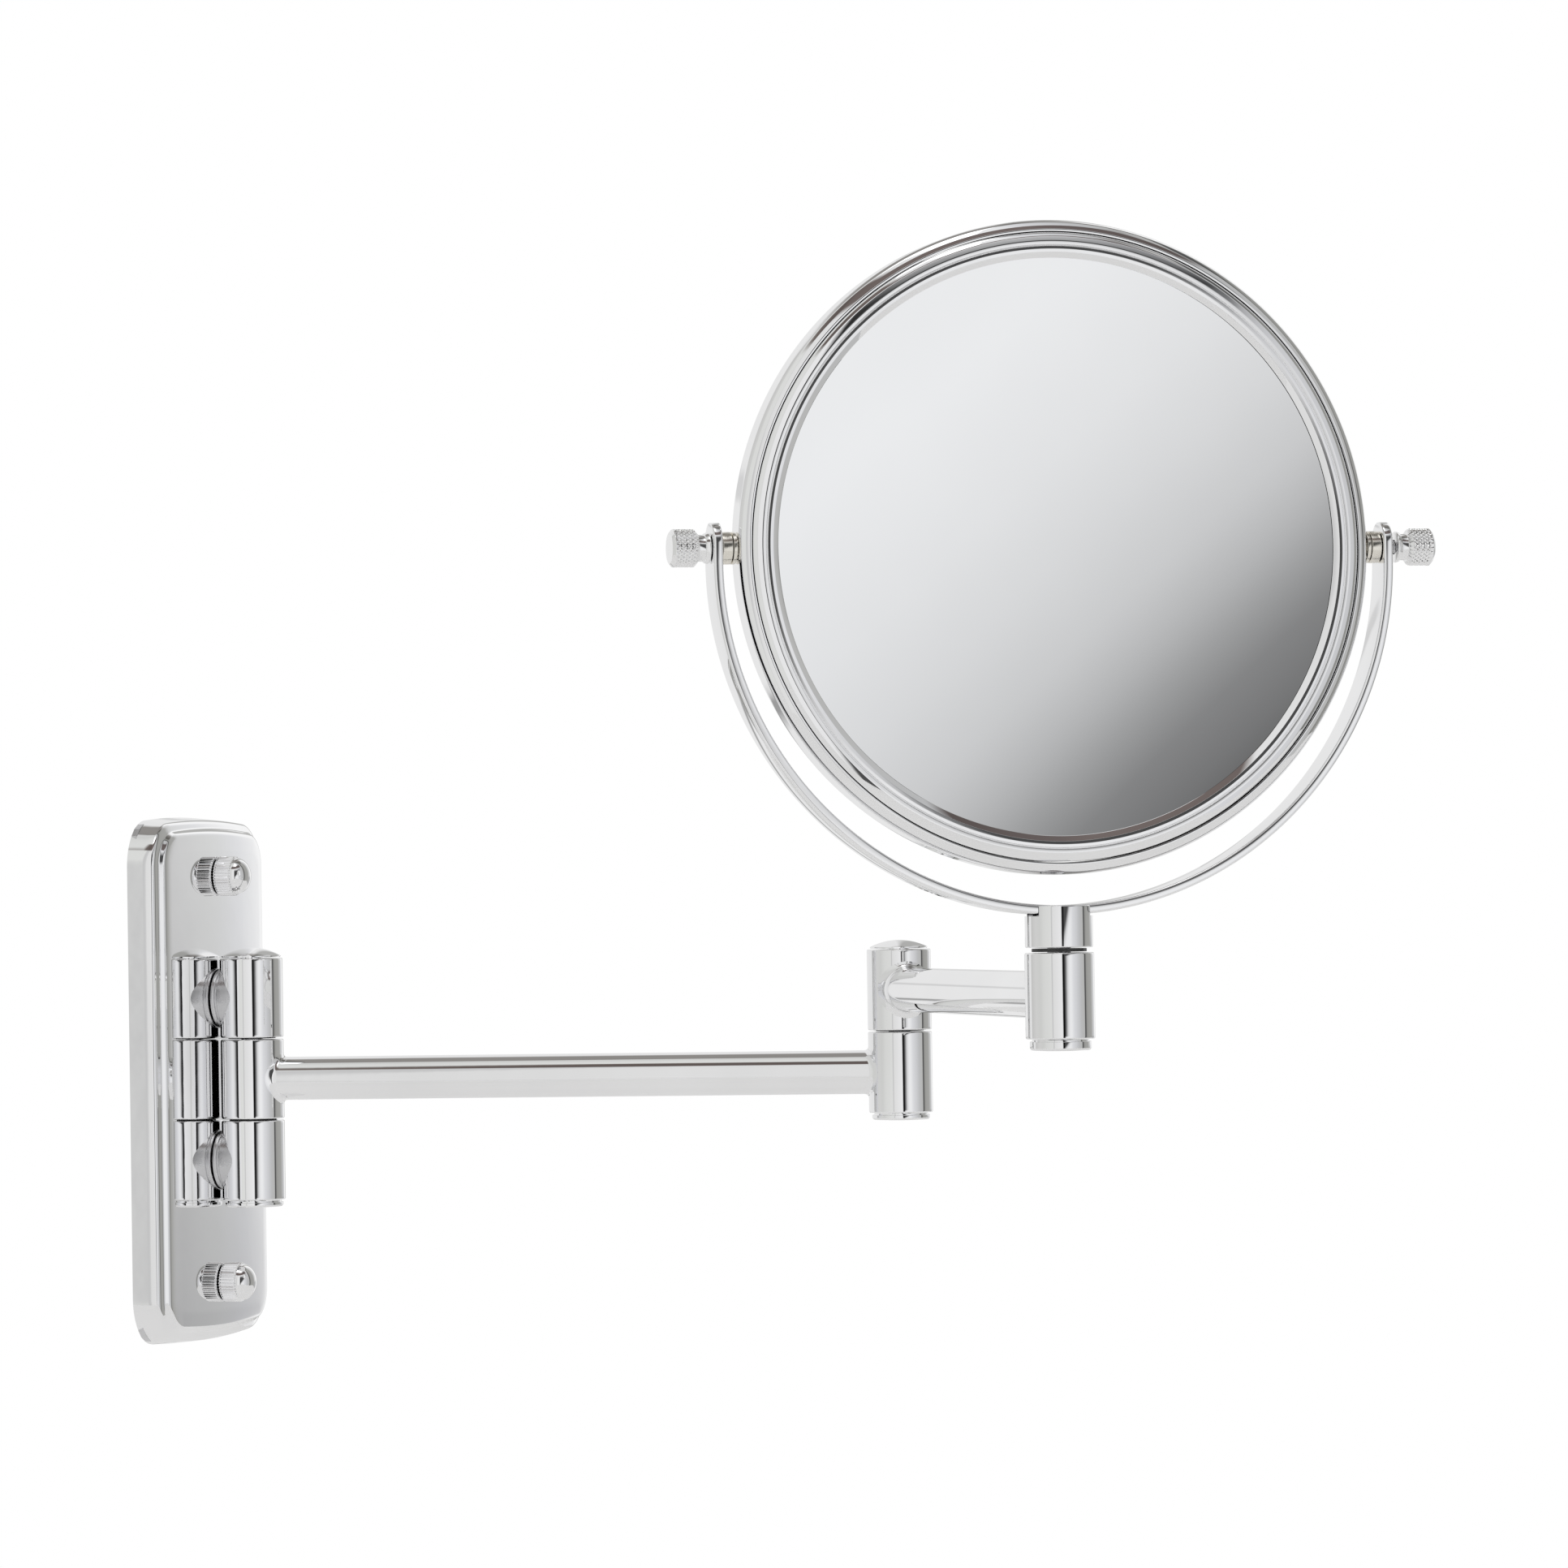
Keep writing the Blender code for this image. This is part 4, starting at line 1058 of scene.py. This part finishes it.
def make_world():
    """A pale room with a few darker things in it, and a dark flag beside the camera."""
    world = bpy.data.worlds.new("studio")
    bpy.context.scene.world = world
    world.use_nodes = True
    tree = world.node_tree
    tree.nodes.clear()
    place = tree.nodes.new("ShaderNodeTexCoord")
    back = camera_back()
    turn = tree.nodes.new("ShaderNodeVectorRotate")
    turn.rotation_type = "Z_AXIS"
    turn.inputs["Angle"].default_value = -math.atan2(back.y, back.x)
    tree.links.new(place.outputs["Generated"], turn.inputs["Vector"])
    parts = tree.nodes.new("ShaderNodeSeparateXYZ")
    tree.links.new(turn.outputs["Vector"], parts.inputs["Vector"])
    azimuth = math_node(tree, "ARCTAN2", parts.outputs["Y"], parts.outputs["X"])
    azimuth = math_node(tree, "DEGREES", azimuth)
    elevation = math_node(tree, "DEGREES", math_node(tree, "ARCSINE", parts.outputs["Z"]))
    colour = studio_ramp(tree, azimuth, -180, 180, WALLS)
    for tone, sides, heights in FURNITURE:
        amount = multiply(tree, studio_ramp(tree, azimuth, -180, 180, sides),
                          studio_ramp(tree, elevation, -90, 90, heights))
        colour = shade(tree, colour, tone, amount)
    slope = math_node(tree, "MULTIPLY", elevation, -FLAG_SLOPE)
    flag = studio_ramp(tree, math_node(tree, "ADD", azimuth, slope), -60, 60, FLAG)
    amount = multiply(tree, studio_ramp(tree, azimuth, -180, 180, FLAG_SIDES),
                      studio_ramp(tree, elevation, -90, 90, FLAG_HEIGHTS))
    colour = shade(tree, colour, flag, amount)
    room = tree.nodes.new("ShaderNodeBackground")
    tree.links.new(colour, room.inputs["Color"])
    white = tree.nodes.new("ShaderNodeBackground")
    white.inputs["Color"].default_value = (1, 1, 1, 1)
    path = tree.nodes.new("ShaderNodeLightPath")
    choice = tree.nodes.new("ShaderNodeMixShader")
    tree.links.new(path.outputs["Is Camera Ray"], choice.inputs["Fac"])
    tree.links.new(room.outputs["Background"], choice.inputs[1])
    tree.links.new(white.outputs["Background"], choice.inputs[2])
    output = tree.nodes.new("ShaderNodeOutputWorld")
    tree.links.new(choice.outputs["Shader"], output.inputs["Surface"])


def make_floor():
    bm = bmesh.new()
    bmesh.ops.create_grid(bm, x_segments=1, y_segments=1, size=1.6)
    material, tree, shader = new_nodes("studio_floor")
    colour = tint(tree, noise(tree, 3.0), (0.83, 0.83, 0.83), (0.86, 0.86, 0.86))
    tree.links.new(colour, shader.inputs["Base Color"])
    shader.inputs["Roughness"].default_value = 0.7
    shader.inputs["Emission Color"].default_value = (1, 1, 1, 1)
    shader.inputs["Emission Strength"].default_value = FLOOR_GLOW
    floor = finish_mesh("floor", bm, material, Matrix.Translation((0, -0.2, FLOOR_HEIGHT)))


def make_softbox(name, position, aim, size, watts):
    data = bpy.data.lights.new(name, "AREA")
    data.shape = "SQUARE"
    data.size = size
    data.energy = watts
    light = bpy.data.objects.new(name, data)
    bpy.context.scene.collection.objects.link(light)
    turn = (aim - position).to_track_quat("-Z", "Y").to_matrix().to_4x4()
    light.matrix_world = Matrix.Translation(position) @ turn


def make_studio():
    make_camera()
    make_world()
    make_floor()
    make_softbox("overhead_softbox", SOFTBOX_PLACE, CAMERA_AIM, SOFTBOX_SIZE, SOFTBOX_WATTS)
    bpy.context.scene.view_settings.view_transform = "Standard"


make_studio()
make_wall_mount()
make_arms()
make_yoke()
make_head()
finish_cad_nodes()
